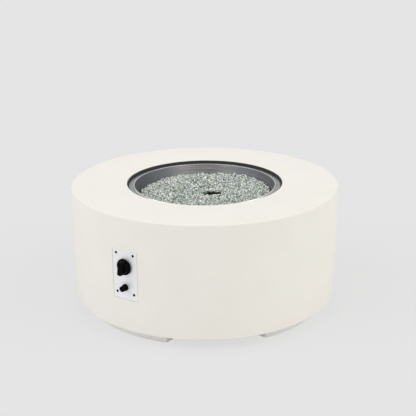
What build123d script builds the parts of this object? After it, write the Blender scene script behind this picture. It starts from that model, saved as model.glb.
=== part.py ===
from build123d import *
from math import cos, pi, radians, sin, sqrt, tan

import os

os.makedirs("parts", exist_ok=True)

# Driving dimensions of a round gas fire pit table, in millimetres and degrees.
# The Z axis is the drum's axis and z = 0 is the floor. An azimuth is counted from -Y towards +X.

# Drum
DRUM_DIAMETER = 1066.8
DRUM_HEIGHT = 440.0
DRUM_WALL = 20.0
TOP_SLAB = 30.0
BASE_FLANGE = 22.0
BASE_FLANGE_REACH = 133.4
TOP_EDGE_RADIUS = 4.0
MOUTH_EDGE_RADIUS = 2.0
INNER_CORNER = 16.0

# Fire opening in the top
OPENING_DIAMETER = 625.6
REBATE_DEPTH = 15.5
THROAT_DIAMETER = 590.0

# Feet
FOOT_HEIGHT = 43.0
FOOT_SETBACK = 43.4
FOOT_DEPTH = 105.0
FOOT_WIDTH = 380.0
FOOT_BEVEL = 2.0
FOOT_NAMES = ("front_left", "front_right", "back_right", "back_left")
FIRST_FOOT_AZIMUTH = -45.0
BOLT_SPREAD = 220.0
BOLT_INSET = 32.0
BOLT_DIAMETER = 10.0
BOLT_HOLE_DIAMETER = 11.0
BOLT_HEAD_FLATS = 17.0
BOLT_HEAD_HEIGHT = 6.4
BOLT_NUT_HEIGHT = 8.0
BOLT_POKE = 3.0
WASHER_DIAMETER = 21.0
WASHER_THICKNESS = 2.0
COUNTERBORE_DIAMETER = 27.0
COUNTERBORE_DEPTH = 13.0

# Collar that lines the fire opening
COLLAR_THICKNESS = 2.0
COLLAR_GAP = 0.5
COLLAR_TOP_STEP = 1.5
COLLAR_LEDGE_WIDTH = 15.3
COLLAR_SCREWS = 6
COLLAR_SCREW_DIAMETER = 3.8
COLLAR_SCREW_LENGTH = 14.0
COUNTERSINK_ANGLE = 90.0

# Burner pan
PAN_SHEET = 1.5
PAN_FLANGE_DIAMETER = 610.0
PAN_BEAD_OUTER_DIAMETER = 580.0
PAN_MOUTH_DIAMETER = 566.4
PAN_FLOOR_DIAMETER = 498.0
PAN_DEPTH = 68.0
PAN_BEAD_HEIGHT = 3.0
PAN_BEAD_SLOPE = 2.25
PAN_FLOOR_RADIUS = 8.0
PAN_DRAINS = 4
PAN_DRAIN_DIAMETER = 8.0
PAN_DRAIN_CIRCLE_DIAMETER = 440.0

# Burner of welded sheet channel
BURNER_STANDOFF = 9.0
BURNER_HEIGHT = 18.0
BURNER_SHEET = 1.5
OUTER_RING_DIAMETER = 370.0
INNER_RING_DIAMETER = 210.0
RING_WIDTH = 24.0
CROSS_CHANNEL_WIDTH = 20.0
HUB_DIAMETER = 36.0
PORT_DIAMETER = 3.2
PORT_ROW_DISTANCE = 5.0
OUTER_RING_PORTS = 20
INNER_RING_PORTS = 10
CROSS_PORTS = 4
CROSS_PORT_PITCH = 14.0
CROSS_PORT_START = 32.0
STANDOFFS = 4
STANDOFF_AZIMUTH = 45.0
STANDOFF_WIDTH = 16.0
STANDOFF_SPAN = 14.0
STANDOFF_FOOT = 8.0
STANDOFF_SHEET = 1.2
NIPPLE_DIAMETER = 21.0
NIPPLE_BORE_DIAMETER = 14.0
NIPPLE_DROP = 20.0
LOCKNUT_FLATS = 32.0
LOCKNUT_HEIGHT = 6.0

# Glass media
GLASS_COVER = 11.0
GLASS_GAP = 0.3
TRENCH_GAP = 1.0

# Ignition group under its hood
HOOD_X = 30.0
HOOD_HUB_GAP = 4.0
HOOD_WIDTH = 52.0
HOOD_DEPTH = 30.0
HOOD_RISE = 6.0
HOOD_SHEET = 1.2
HOOD_FOOT = 9.0
HOOD_SCREW_DIAMETER = 4.0
HOOD_SCREW_HEAD_DIAMETER = 7.5
HOOD_SCREW_HEAD_HEIGHT = 2.6
HOOD_SCREW_LENGTH = 10.0
BRACKET_SHEET = 1.5
BRACKET_DEPTH = 20.0
ELECTRODE_DISTANCE = 10.0
PROBE_DISTANCE = 11.0
CERAMIC_DIAMETER = 7.0
CERAMIC_LENGTH = 36.0
CERAMIC_DROP = 12.0
ROD_DIAMETER = 2.4
ROD_TIP = 9.0
ROD_TAIL = 5.0
PROBE_DIAMETER = 5.0
PROBE_LENGTH = 40.0
PROBE_DROP = 10.0
PROBE_HEX_FLATS = 9.0
PROBE_HEX_HEIGHT = 6.0

# Elbow and air mixer under the pan
ELBOW_DIAMETER = 28.0
ELBOW_SOCKET_DEPTH = 9.0
ELBOW_DROP = 17.0
ELBOW_BORE_DIAMETER = 14.0
ELBOW_REACH = 34.0
MIXER_DIAMETER = 26.0
MIXER_SPIGOT = 8.0
MIXER_BODY = 52.0
MIXER_BORE_DIAMETER = 9.0
MIXER_PORT_DIAMETER = 6.5
MIXER_PORT_PLACE = 20.0
FLARE_DIAMETER = 14.0
FLARE_LENGTH = 12.0
JET_LENGTH = 10.0
JET_ORIFICE_DIAMETER = 1.6
JET_PLACE = 40.0

# Flexible tube from the valve to the air mixer, with a flare nut at each end
HOSE_DIAMETER = 12.0
HOSE_NUT_FLATS = 20.0
HOSE_NUT_LENGTH = 20.0
HOSE_NUT_GRIP = 9.0
HOSE_START_RUN = 58.0
HOSE_END_RUN = 57.0

# Control panel, let into a flat pocket in the drum's wall
PANEL_AZIMUTH = -38.3
PANEL_WIDTH = 108.0
PANEL_HEIGHT = 190.5
PANEL_THICKNESS = 2.0
PANEL_CORNER = 1.5
PANEL_CENTRE_Z = 262.2
PANEL_SIDE_GAP = 2.5
PANEL_END_GAP = 0.8
SCREW_PATTERN_WIDTH = 76.2
SCREW_PATTERN_HEIGHT = 152.4
SCREW_RISE = 5.4
SCREW_DIAMETER = 5.0
SCREW_HEAD_DIAMETER = 9.5
SCREW_HEAD_HEIGHT = 2.8
SCREW_HEAD_TAPER = 30.0
SCREW_SOCKET_FLATS = 3.0
SCREW_SOCKET_DEPTH = 1.4
SCREW_LENGTH = 12.0
SCREW_HOLE_DIAMETER = 5.5
INSERT_DIAMETER = 8.0
INSERT_LENGTH = 11.0
WINDOW_WIDTH = 60.0
WINDOW_HEIGHT = 140.0
WINDOW_CORNER = 10.0

# Gas valve and knob
KNOB_RISE = 33.3
KNOB_TRAVEL = 4.0
KNOB_TILT = 6.0
NECK_DIAMETER = 18.0
NECK_LENGTH = 12.0
NECK_NUT_FLATS = 24.0
NECK_NUT_HEIGHT = 4.0
VALVE_SHOULDER_DIAMETER = 30.0
VALVE_WALL_GAP = 4.4
VALVE_WIDTH = 36.0
VALVE_DEPTH = 32.0
VALVE_RISE = 36.0
VALVE_FALL = 20.0
OUTLET_RISE = 22.0
INLET_BOSS_FLATS = 20.0
INLET_BOSS_LENGTH = 8.0
INLET_SPIGOT_DIAMETER = 14.0
INLET_SPIGOT_LENGTH = 12.0
INLET_ELBOW_DIAMETER = 20.0
INLET_ELBOW_REACH = 16.0
INLET_ELBOW_DROP = 24.0
INLET_THREAD_DIAMETER = 15.9
INLET_THREAD_LENGTH = 14.0
INLET_BORE_DIAMETER = 8.0
PROBE_PORT_DIAMETER = 10.0
PROBE_PORT_LENGTH = 8.0
PLUNGER_DIAMETER = 16.0
PLUNGER_LENGTH = 8.0
SPRING_LENGTH = 12.4
SPRING_DIAMETER = 12.0
SPRING_WIRE = 1.0
STEM_DIAMETER = 8.0
STEM_FLAT = 2.8
KNOB_SKIRT_DIAMETER = 62.0
KNOB_SKIRT_THICKNESS = 3.5
KNOB_CLEARANCE = 0.6
KNOB_HEIGHT = 33.0
KNOB_BOSS_DIAMETER = 50.0
KNOB_BOSS_HEIGHT = 11.0
KNOB_BOSS_TAPER = 25.0
KNOB_BAR_WIDTH = 20.0
KNOB_BAR_LENGTH = 54.0
KNOB_BAR_CORNER = 5.0
KNOB_DRAFT = 3.0
KNOB_BEVEL = 1.2
KNOB_CAVITY_DIAMETER = 34.0
KNOB_CAVITY_TAPER = 15.0
KNOB_NECK_CLEARANCE = 2.8
KNOB_CAP_THICKNESS = 4.5
KNOB_MARK_WIDTH = 1.6
KNOB_MARK_LENGTH = 16.0
KNOB_MARK_DEPTH = 0.6

# Battery igniter
IGNITER_FALL = 48.1
IGNITER_TRAVEL = 4.0
IGNITER_BEZEL_DIAMETER = 26.0
IGNITER_BEZEL_HEIGHT = 8.0
IGNITER_BEZEL_FLOOR = 1.5
IGNITER_BARREL_DIAMETER = 22.0
IGNITER_END_WALL = 1.5
IGNITER_BORE_DIAMETER = 15.2
IGNITER_NUT_FLATS = 30.0
IGNITER_NUT_HEIGHT = 5.0
IGNITER_TERMINAL_DIAMETER = 5.0
IGNITER_TERMINAL_LENGTH = 6.0
BUTTON_DIAMETER = 22.0
BUTTON_HEIGHT = 24.0
BUTTON_BEVEL = 2.0
SHANK_DIAMETER = 11.9
SHANK_COLLAR_DIAMETER = 14.2
SHANK_COLLAR_THICKNESS = 2.0
BATTERY_DIAMETER = 14.2
BATTERY_LENGTH = 50.0
BATTERY_TIP_DIAMETER = 5.4
BATTERY_TIP_LENGTH = 1.0
CONTACT_SPRING_DIAMETER = 10.0
CONTACT_SPRING_LENGTH = 15.3

# Wires held inside the drum, with the first bend of each below the pan and its last straight run
LEAD_DIAMETER = 2.6
LEAD_DROP = 28.0
LEAD_BEND_ASIDE = 3.0
LEAD_BEND_DROP = 50.0
LEAD_BEND_REACH = 22.0
LEAD_END_RUN = 38.0
WIRE_DIAMETER = 3.4
WIRE_DROP = 26.0
WIRE_BEND_ASIDE = 2.0
WIRE_BEND_DROP = 48.0
WIRE_BEND_REACH = 19.0
WIRE_END_RUN = 27.0

# Share of a route's shorter run that each of its arcs takes
ARC_SHARE = 0.45

# Clearances
SLIDE_FIT = 0.05
THREAD_FIT = 0.05
HOLE_FIT = 0.3
REST_GAP = 0.3

# Levels and radii that follow from the driving dimensions
drum_r = DRUM_DIAMETER / 2
inner_r = drum_r - DRUM_WALL
foot_r = drum_r - FOOT_SETBACK
bolt_r = foot_r - BOLT_INSET
feet = len(FOOT_NAMES)
foot_azimuths = [FIRST_FOOT_AZIMUTH + turn * 360 / feet for turn in range(feet)]
base_z = FOOT_HEIGHT
top_z = base_z + DRUM_HEIGHT
ledge_z = top_z - REBATE_DEPTH
flange_z = ledge_z + COLLAR_THICKNESS + PAN_SHEET
pan_floor_z = flange_z - PAN_DEPTH
pan_under_z = pan_floor_z - PAN_SHEET
burner_z = pan_floor_z + BURNER_STANDOFF
burner_top_z = burner_z + BURNER_HEIGHT
glass_z = burner_top_z + GLASS_COVER
nipple_end_z = pan_under_z - NIPPLE_DROP
bracket_top_z = pan_floor_z + BRACKET_SHEET
hood_top_z = glass_z + HOOD_RISE
hood_y = -(HUB_DIAMETER / 2 + HOOD_HUB_GAP + HOOD_DEPTH / 2)
electrode_x = HOOD_X - ELECTRODE_DISTANCE
thermocouple_x = HOOD_X + PROBE_DISTANCE

# Panel frame: local x runs to the right along the panel, local y is up and local z points outwards
# from the drum's axis. The panel's front lies flush with the drum where its sides meet the wall.
panel_turn = radians(PANEL_AZIMUTH)
panel_frame = Plane(
    origin=(0, 0, 0),
    x_dir=(cos(panel_turn), sin(panel_turn), 0),
    z_dir=(sin(panel_turn), -cos(panel_turn), 0),
)
front_d = sqrt(drum_r**2 - (PANEL_WIDTH / 2) ** 2)
seat_d = front_d - PANEL_THICKNESS
screw_centre_z = PANEL_CENTRE_Z + SCREW_RISE
knob_z = PANEL_CENTRE_Z + KNOB_RISE
igniter_z = PANEL_CENTRE_Z - IGNITER_FALL


def in_panel(x, z, d):
    """The point at x across the panel, z above the floor and d out from the drum's axis."""
    return panel_frame.from_local_coords((x, z, d))


def polar_point(radius, azimuth):
    """The point at a radius and an azimuth, on the floor."""
    return (radius * sin(radians(azimuth)), -radius * cos(radians(azimuth)))


def route_between(start, end, steps):
    """Points at shares of the way from start to end, each moved aside and up by hand."""
    points = []
    for share, aside, up in steps:
        x, z, d = start + (end - start) * share
        points.append(in_panel(x + aside, z + up, d))
    return points


def route_radii(points):
    """The largest arc that each corner of a route leaves room for."""
    radii = []
    for before, here, after in zip(points, points[1:], points[2:]):
        run_in = here - before
        run_out = after - here
        half_turn = radians(run_in.get_angle(run_out)) / 2
        radii.append(ARC_SHARE * min(run_in.length, run_out.length) / tan(half_turn))
    return radii


def report_route(name, radii, tube, diameter, path_length):
    """Print a tube's arcs and its volume beside its section times its length."""
    section = pi * (diameter / 2) ** 2
    print(name, "length", round(path_length, 1), "radii", [round(r) for r in radii])
    print(name, "volume", round(tube.volume), "section times length", round(section * path_length))


# Bolt places: two under each foot, square to the foot's own radial line
bolt_along = sqrt(bolt_r**2 - (BOLT_SPREAD / 2) ** 2)
bolt_points = []
for azimuth in foot_azimuths:
    for side in (-1, 1):
        along_x, along_y = polar_point(bolt_along, azimuth)
        across_x = cos(radians(azimuth)) * side * BOLT_SPREAD / 2
        across_y = sin(radians(azimuth)) * side * BOLT_SPREAD / 2
        bolt_points.append((along_x + across_x, along_y + across_y))

# Drum shell: one casting with a top slab, a rebated fire opening and an inward base flange
base_r = drum_r - BASE_FLANGE_REACH
opening_r = OPENING_DIAMETER / 2
throat_r = THROAT_DIAMETER / 2
collar_ledge_r = opening_r - COLLAR_GAP - COLLAR_LEDGE_WIDTH
collar_screw_r = (collar_ledge_r + opening_r - COLLAR_GAP - COLLAR_THICKNESS) / 2
with BuildPart() as drum_shell:
    with BuildSketch(Plane.XZ) as drum_profile:
        with BuildLine():
            Polyline(
                (base_r, base_z),
                (drum_r, base_z),
                (drum_r, top_z),
                (opening_r, top_z),
                (opening_r, ledge_z),
                (throat_r, ledge_z),
                (throat_r, top_z - TOP_SLAB),
                (inner_r - INNER_CORNER, top_z - TOP_SLAB),
                (inner_r, top_z - TOP_SLAB - INNER_CORNER),
                (inner_r, base_z + BASE_FLANGE),
                (base_r, base_z + BASE_FLANGE),
                close=True,
            )
        make_face()
        fillet(drum_profile.vertices().group_by(Axis.Y)[-1].sort_by(Axis.X)[-1], TOP_EDGE_RADIUS)
        fillet(drum_profile.vertices().group_by(Axis.Y)[-1].sort_by(Axis.X)[0], MOUTH_EDGE_RADIUS)
    revolve(axis=Axis.Z)
    with BuildSketch(panel_frame.offset(seat_d)):
        with Locations((0, PANEL_CENTRE_Z)):
            Rectangle(PANEL_WIDTH + 2 * PANEL_SIDE_GAP, PANEL_HEIGHT + 2 * PANEL_END_GAP)
    extrude(amount=drum_r - seat_d + 1, mode=Mode.SUBTRACT)
    with BuildSketch(panel_frame.offset(seat_d)):
        with Locations((0, screw_centre_z)):
            RectangleRounded(WINDOW_WIDTH, WINDOW_HEIGHT, WINDOW_CORNER)
    extrude(amount=-2 * DRUM_WALL, mode=Mode.SUBTRACT)
    with BuildSketch(panel_frame.offset(seat_d)):
        with Locations((0, screw_centre_z)):
            with GridLocations(SCREW_PATTERN_WIDTH, SCREW_PATTERN_HEIGHT, 2, 2):
                Circle(INSERT_DIAMETER / 2 + THREAD_FIT)
    extrude(amount=-INSERT_LENGTH, mode=Mode.SUBTRACT)
    with BuildSketch(Plane.XY.offset(ledge_z)):
        with PolarLocations(collar_screw_r, COLLAR_SCREWS):
            Circle(COLLAR_SCREW_DIAMETER / 2 + THREAD_FIT)
    extrude(amount=-COLLAR_SCREW_LENGTH, mode=Mode.SUBTRACT)
    with BuildSketch(Plane.XY.offset(base_z)):
        with Locations(*bolt_points):
            Circle(BOLT_HOLE_DIAMETER / 2)
    extrude(amount=BASE_FLANGE, mode=Mode.SUBTRACT)
drum_shell.part.label = "drum_shell"
export_step(drum_shell.part, "parts/drum_shell.step")

# Feet: four cast blocks, each with an arc outside, parallel sides and a straight back
for foot_name, azimuth in zip(FOOT_NAMES, foot_azimuths):
    outward = Vector(*polar_point(1, azimuth))
    foot_bolts_here = [p for p in bolt_points if Vector(*p).dot(outward) > foot_r / 2]
    with BuildPart() as foot:
        with BuildSketch():
            Circle(foot_r)
            with PolarLocations(foot_r - FOOT_DEPTH / 2, 1, start_angle=azimuth - 90):
                Rectangle(FOOT_DEPTH, FOOT_WIDTH, mode=Mode.INTERSECT)
        extrude(amount=FOOT_HEIGHT)
        chamfer(foot.edges().group_by(Axis.Z)[0], FOOT_BEVEL)
        with BuildSketch():
            with Locations(*foot_bolts_here):
                Circle(BOLT_HOLE_DIAMETER / 2)
        extrude(amount=FOOT_HEIGHT, mode=Mode.SUBTRACT)
        with BuildSketch():
            with Locations(*foot_bolts_here):
                Circle(COUNTERBORE_DIAMETER / 2)
        extrude(amount=COUNTERBORE_DEPTH, mode=Mode.SUBTRACT)
    foot.part.label = f"foot_{foot_name}"
    export_step(foot.part, f"parts/foot_{foot_name}.step")

# Foot fasteners: a bolt from below, a washer at each end and a nut on top of the base flange
bolt_head_top = COUNTERBORE_DEPTH - WASHER_THICKNESS
flange_top_z = base_z + BASE_FLANGE
nut_z = flange_top_z + WASHER_THICKNESS
bolt_end_z = nut_z + BOLT_NUT_HEIGHT + BOLT_POKE
with BuildPart() as foot_bolts:
    with BuildSketch(Plane.XY.offset(bolt_head_top)):
        with Locations(*bolt_points):
            RegularPolygon(BOLT_HEAD_FLATS / 2, 6, major_radius=False)
    extrude(amount=-BOLT_HEAD_HEIGHT)
    with BuildSketch(Plane.XY.offset(bolt_head_top)):
        with Locations(*bolt_points):
            Circle(BOLT_DIAMETER / 2)
    extrude(amount=bolt_end_z - bolt_head_top)
foot_bolts.part.label = "foot_bolts"
export_step(foot_bolts.part, "parts/foot_bolts.step")

with BuildPart() as foot_washers:
    for washer_z in (bolt_head_top, flange_top_z):
        with BuildSketch(Plane.XY.offset(washer_z)):
            with Locations(*bolt_points):
                Circle(WASHER_DIAMETER / 2)
                Circle(BOLT_DIAMETER / 2 + HOLE_FIT, mode=Mode.SUBTRACT)
        extrude(amount=WASHER_THICKNESS)
foot_washers.part.label = "foot_washers"
export_step(foot_washers.part, "parts/foot_washers.step")

with BuildPart() as foot_nuts:
    with BuildSketch(Plane.XY.offset(nut_z)):
        with Locations(*bolt_points):
            RegularPolygon(BOLT_HEAD_FLATS / 2, 6, major_radius=False)
            Circle(BOLT_DIAMETER / 2 + THREAD_FIT, mode=Mode.SUBTRACT)
    extrude(amount=BOLT_NUT_HEIGHT)
foot_nuts.part.label = "foot_nuts"
export_step(foot_nuts.part, "parts/foot_nuts.step")

# Opening collar: a ring of angle section that lines the rebate and carries the pan's flange
collar_r = opening_r - COLLAR_GAP
collar_top_z = top_z - COLLAR_TOP_STEP
collar_ledge_z = ledge_z + COLLAR_THICKNESS
collar_head_height = COLLAR_THICKNESS - 2 * SLIDE_FIT
collar_head_r = COLLAR_SCREW_DIAMETER / 2 + collar_head_height * tan(radians(COUNTERSINK_ANGLE / 2))
with BuildPart() as opening_collar:
    with BuildSketch(Plane.XZ):
        with BuildLine():
            Polyline(
                (collar_ledge_r, ledge_z),
                (collar_r, ledge_z),
                (collar_r, collar_top_z),
                (collar_r - COLLAR_THICKNESS, collar_top_z),
                (collar_r - COLLAR_THICKNESS, collar_ledge_z),
                (collar_ledge_r, collar_ledge_z),
                close=True,
            )
        make_face()
    revolve(axis=Axis.Z)
    with Locations(Plane.XY.offset(collar_ledge_z)):
        with PolarLocations(collar_screw_r, COLLAR_SCREWS):
            CounterSinkHole(
                COLLAR_SCREW_DIAMETER / 2 + HOLE_FIT,
                collar_head_r + HOLE_FIT,
                depth=COLLAR_THICKNESS,
                counter_sink_angle=COUNTERSINK_ANGLE,
            )
opening_collar.part.label = "opening_collar"
export_step(opening_collar.part, "parts/opening_collar.step")

# Collar screws: countersunk, with their heads flush in the collar's ledge
collar_head_z = collar_ledge_z - SLIDE_FIT
with BuildPart() as collar_screws:
    with BuildSketch(Plane.XY.offset(collar_head_z)):
        with PolarLocations(collar_screw_r, COLLAR_SCREWS):
            Circle(collar_head_r)
    extrude(amount=-collar_head_height, taper=COUNTERSINK_ANGLE / 2)
    with BuildSketch(Plane.XY.offset(collar_head_z)):
        with PolarLocations(collar_screw_r, COLLAR_SCREWS):
            Circle(COLLAR_SCREW_DIAMETER / 2)
    extrude(amount=ledge_z - COLLAR_SCREW_LENGTH + REST_GAP - collar_head_z)
collar_screws.part.label = "collar_screws"
export_step(collar_screws.part, "parts/collar_screws.step")

# Burner pan: spun sheet with a sloped side, a raised bead round its mouth and a resting flange
pan_mouth_r = PAN_MOUTH_DIAMETER / 2
pan_floor_r = PAN_FLOOR_DIAMETER / 2
pan_bead_r = PAN_BEAD_OUTER_DIAMETER / 2
pan_flange_r = PAN_FLANGE_DIAMETER / 2
bead_z = flange_z + PAN_BEAD_HEIGHT
side_rise = bead_z - pan_floor_z
side_lean = (pan_mouth_r - pan_floor_r) / side_rise
side_length = sqrt(1 + side_lean**2)
screw_reach = HOOD_WIDTH / 2 + HOOD_FOOT / 2
with BuildPart() as burner_pan:
    with BuildSketch(Plane.XZ) as pan_profile:
        with BuildLine():
            Polyline(
                (0, pan_floor_z),
                (pan_floor_r, pan_floor_z),
                (pan_mouth_r, bead_z),
                (pan_bead_r - PAN_BEAD_SLOPE, bead_z),
                (pan_bead_r, flange_z),
                (pan_flange_r, flange_z),
                (pan_flange_r, flange_z - PAN_SHEET),
                (pan_bead_r - PAN_SHEET / 2, flange_z - PAN_SHEET),
                (pan_bead_r - PAN_SHEET / 2 - PAN_BEAD_SLOPE, bead_z - PAN_SHEET),
                (pan_mouth_r + PAN_SHEET * (side_length - side_lean), bead_z - PAN_SHEET),
                (pan_floor_r + PAN_SHEET * (side_length - side_lean), pan_under_z),
                (0, pan_under_z),
                close=True,
            )
        make_face()
        floor_corner = pan_profile.vertices().group_by(Axis.Y)[1].sort_by(Axis.X)[-1]
        fillet(floor_corner, PAN_FLOOR_RADIUS)
        under_corner = pan_profile.vertices().group_by(Axis.Y)[0].sort_by(Axis.X)[-1]
        fillet(under_corner, PAN_FLOOR_RADIUS + PAN_SHEET)
    revolve(axis=Axis.Z)
    with BuildSketch(Plane.XY.offset(pan_under_z)):
        Circle(NIPPLE_DIAMETER / 2 + HOLE_FIT)
        with PolarLocations(PAN_DRAIN_CIRCLE_DIAMETER / 2, PAN_DRAINS):
            Circle(PAN_DRAIN_DIAMETER / 2)
        with Locations((electrode_x, hood_y)):
            Circle(CERAMIC_DIAMETER / 2 + HOLE_FIT)
        with Locations((thermocouple_x, hood_y)):
            Circle(PROBE_DIAMETER / 2 + HOLE_FIT)
        with Locations((HOOD_X - screw_reach, hood_y), (HOOD_X + screw_reach, hood_y)):
            Circle(HOOD_SCREW_DIAMETER / 2 + THREAD_FIT)
    extrude(amount=PAN_SHEET, mode=Mode.SUBTRACT)
burner_pan.part.label = "burner_pan"
export_step(burner_pan.part, "parts/burner_pan.step")


def burner_outline(inset):
    """Draw the burner's plan: two rings, a cross channel through both and the hub."""
    for ring_diameter in (OUTER_RING_DIAMETER, INNER_RING_DIAMETER):
        Circle(ring_diameter / 2 + RING_WIDTH / 2 - inset)
        Circle(ring_diameter / 2 - RING_WIDTH / 2 + inset, mode=Mode.SUBTRACT)
    Rectangle(OUTER_RING_DIAMETER, CROSS_CHANNEL_WIDTH - 2 * inset)
    Circle(HUB_DIAMETER / 2 - inset)


# Burner: two hollow rings fed by a cross channel, with staggered ports and a threaded nipple
with BuildPart() as burner_ring:
    with BuildSketch(Plane.XY.offset(burner_z)):
        burner_outline(0)
    extrude(amount=BURNER_HEIGHT)
    with BuildSketch(Plane.XY.offset(nipple_end_z)):
        Circle(NIPPLE_DIAMETER / 2)
    extrude(amount=burner_z - nipple_end_z)
    with BuildSketch(Plane.XY.offset(burner_z + BURNER_SHEET)):
        burner_outline(BURNER_SHEET)
    extrude(amount=BURNER_HEIGHT - 2 * BURNER_SHEET, mode=Mode.SUBTRACT)
    with BuildSketch(Plane.XY.offset(nipple_end_z)):
        Circle(NIPPLE_BORE_DIAMETER / 2)
    extrude(amount=burner_z + BURNER_SHEET - nipple_end_z, mode=Mode.SUBTRACT)
    with BuildSketch(Plane.XY.offset(burner_top_z - BURNER_SHEET)):
        for ring_diameter, ports in (
            (OUTER_RING_DIAMETER, OUTER_RING_PORTS),
            (INNER_RING_DIAMETER, INNER_RING_PORTS),
        ):
            half_pitch = 180 / ports
            with PolarLocations(ring_diameter / 2 - PORT_ROW_DISTANCE, ports):
                Circle(PORT_DIAMETER / 2)
            with PolarLocations(ring_diameter / 2 + PORT_ROW_DISTANCE, ports, start_angle=half_pitch):
                Circle(PORT_DIAMETER / 2)
        for side in (-1, 1):
            for port in range(CROSS_PORTS):
                with Locations((side * (CROSS_PORT_START + port * CROSS_PORT_PITCH), 0)):
                    Circle(PORT_DIAMETER / 2)
    extrude(amount=BURNER_SHEET, mode=Mode.SUBTRACT)
burner_ring.part.label = "burner_ring"
export_step(burner_ring.part, "parts/burner_ring.step")

# Burner standoffs: bent straps that hold the outer ring off the pan's floor
with BuildPart() as burner_standoffs:
    for turn in range(STANDOFFS):
        strap_azimuth = STANDOFF_AZIMUTH + turn * 360 / STANDOFFS
        strap_x, strap_y = polar_point(OUTER_RING_DIAMETER / 2 - STANDOFF_WIDTH / 2, strap_azimuth)
        strap_plane = Plane(
            origin=(strap_x, strap_y, pan_floor_z),
            x_dir=(cos(radians(strap_azimuth)), sin(radians(strap_azimuth)), 0),
            z_dir=(sin(radians(strap_azimuth)), -cos(radians(strap_azimuth)), 0),
        )
        with BuildSketch(strap_plane):
            with Locations((0, BURNER_STANDOFF / 2)):
                Rectangle(STANDOFF_SPAN, BURNER_STANDOFF)
            with Locations((0, STANDOFF_SHEET / 2)):
                Rectangle(STANDOFF_SPAN + 2 * STANDOFF_FOOT, STANDOFF_SHEET)
            with Locations((0, (BURNER_STANDOFF - STANDOFF_SHEET) / 2)):
                Rectangle(
                    STANDOFF_SPAN - 2 * STANDOFF_SHEET,
                    BURNER_STANDOFF - STANDOFF_SHEET,
                    mode=Mode.SUBTRACT,
                )
        extrude(amount=STANDOFF_WIDTH)
burner_standoffs.part.label = "burner_standoffs"
export_step(burner_standoffs.part, "parts/burner_standoffs.step")

# Burner locknut: clamps the nipple to the pan's underside
with BuildPart() as burner_locknut:
    with BuildSketch(Plane.XY.offset(pan_under_z)):
        RegularPolygon(LOCKNUT_FLATS / 2, 6, major_radius=False)
        Circle(NIPPLE_DIAMETER / 2 + THREAD_FIT, mode=Mode.SUBTRACT)
    extrude(amount=-LOCKNUT_HEIGHT)
burner_locknut.part.label = "burner_locknut"
export_step(burner_locknut.part, "parts/burner_locknut.step")

# Ignition bracket: a flat strip on the pan's floor that holds the electrode and the thermocouple
with BuildPart() as ignition_bracket:
    with BuildSketch(Plane.XY.offset(pan_floor_z)):
        with Locations((HOOD_X, hood_y)):
            Rectangle(HOOD_WIDTH + 2 * HOOD_FOOT, BRACKET_DEPTH)
        with Locations((electrode_x, hood_y)):
            Circle(CERAMIC_DIAMETER / 2 + THREAD_FIT, mode=Mode.SUBTRACT)
        with Locations((thermocouple_x, hood_y)):
            Circle(PROBE_DIAMETER / 2 + THREAD_FIT, mode=Mode.SUBTRACT)
        with Locations((HOOD_X - screw_reach, hood_y), (HOOD_X + screw_reach, hood_y)):
            Circle(HOOD_SCREW_DIAMETER / 2 + HOLE_FIT, mode=Mode.SUBTRACT)
    extrude(amount=BRACKET_SHEET)
ignition_bracket.part.label = "ignition_bracket"
export_step(ignition_bracket.part, "parts/ignition_bracket.step")

# Ignition hood: a folded sheet cover, open towards the front, with a foot at each end
hood_height = hood_top_z - bracket_top_z
with BuildPart() as ignition_hood:
    with BuildSketch(Plane.XY.offset(bracket_top_z)):
        with Locations((HOOD_X, hood_y)):
            Rectangle(HOOD_WIDTH, HOOD_DEPTH)
    extrude(amount=hood_height)
    with BuildSketch(Plane.XY.offset(bracket_top_z)):
        with Locations((HOOD_X, hood_y - HOOD_SHEET)):
            Rectangle(HOOD_WIDTH - 2 * HOOD_SHEET, HOOD_DEPTH)
    extrude(amount=hood_height - HOOD_SHEET, mode=Mode.SUBTRACT)
    with BuildSketch(Plane.XY.offset(bracket_top_z)):
        for side in (-1, 1):
            with Locations((HOOD_X + side * screw_reach, hood_y)):
                Rectangle(HOOD_FOOT, BRACKET_DEPTH)
    extrude(amount=HOOD_SHEET)
    with BuildSketch(Plane.XY.offset(bracket_top_z)):
        for side in (-1, 1):
            with Locations((HOOD_X + side * screw_reach, hood_y)):
                Circle(HOOD_SCREW_DIAMETER / 2 + HOLE_FIT)
    extrude(amount=HOOD_SHEET, mode=Mode.SUBTRACT)
ignition_hood.part.label = "ignition_hood"
export_step(ignition_hood.part, "parts/ignition_hood.step")

# Hood screws: through the hood's feet and the bracket into the pan's floor
hood_seat_z = bracket_top_z + HOOD_SHEET
with BuildPart() as hood_screws:
    with BuildSketch(Plane.XY.offset(hood_seat_z)):
        for side in (-1, 1):
            with Locations((HOOD_X + side * screw_reach, hood_y)):
                Circle(HOOD_SCREW_HEAD_DIAMETER / 2)
    extrude(amount=HOOD_SCREW_HEAD_HEIGHT)
    with BuildSketch(Plane.XY.offset(hood_seat_z)):
        for side in (-1, 1):
            with Locations((HOOD_X + side * screw_reach, hood_y)):
                Circle(HOOD_SCREW_DIAMETER / 2)
    extrude(amount=-HOOD_SCREW_LENGTH)
hood_screws.part.label = "hood_screws"
export_step(hood_screws.part, "parts/hood_screws.step")

# Spark electrode: a ceramic tube through the pan's floor with a metal rod inside it
ceramic_z = pan_under_z - CERAMIC_DROP
rod_z = ceramic_z - ROD_TAIL
rod_top_z = ceramic_z + CERAMIC_LENGTH + ROD_TIP
with BuildPart() as electrode_ceramic:
    with BuildSketch(Plane.XY.offset(ceramic_z)):
        with Locations((electrode_x, hood_y)):
            Circle(CERAMIC_DIAMETER / 2)
            Circle(ROD_DIAMETER / 2 + THREAD_FIT, mode=Mode.SUBTRACT)
    extrude(amount=CERAMIC_LENGTH)
electrode_ceramic.part.label = "electrode_ceramic"
export_step(electrode_ceramic.part, "parts/electrode_ceramic.step")

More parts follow.
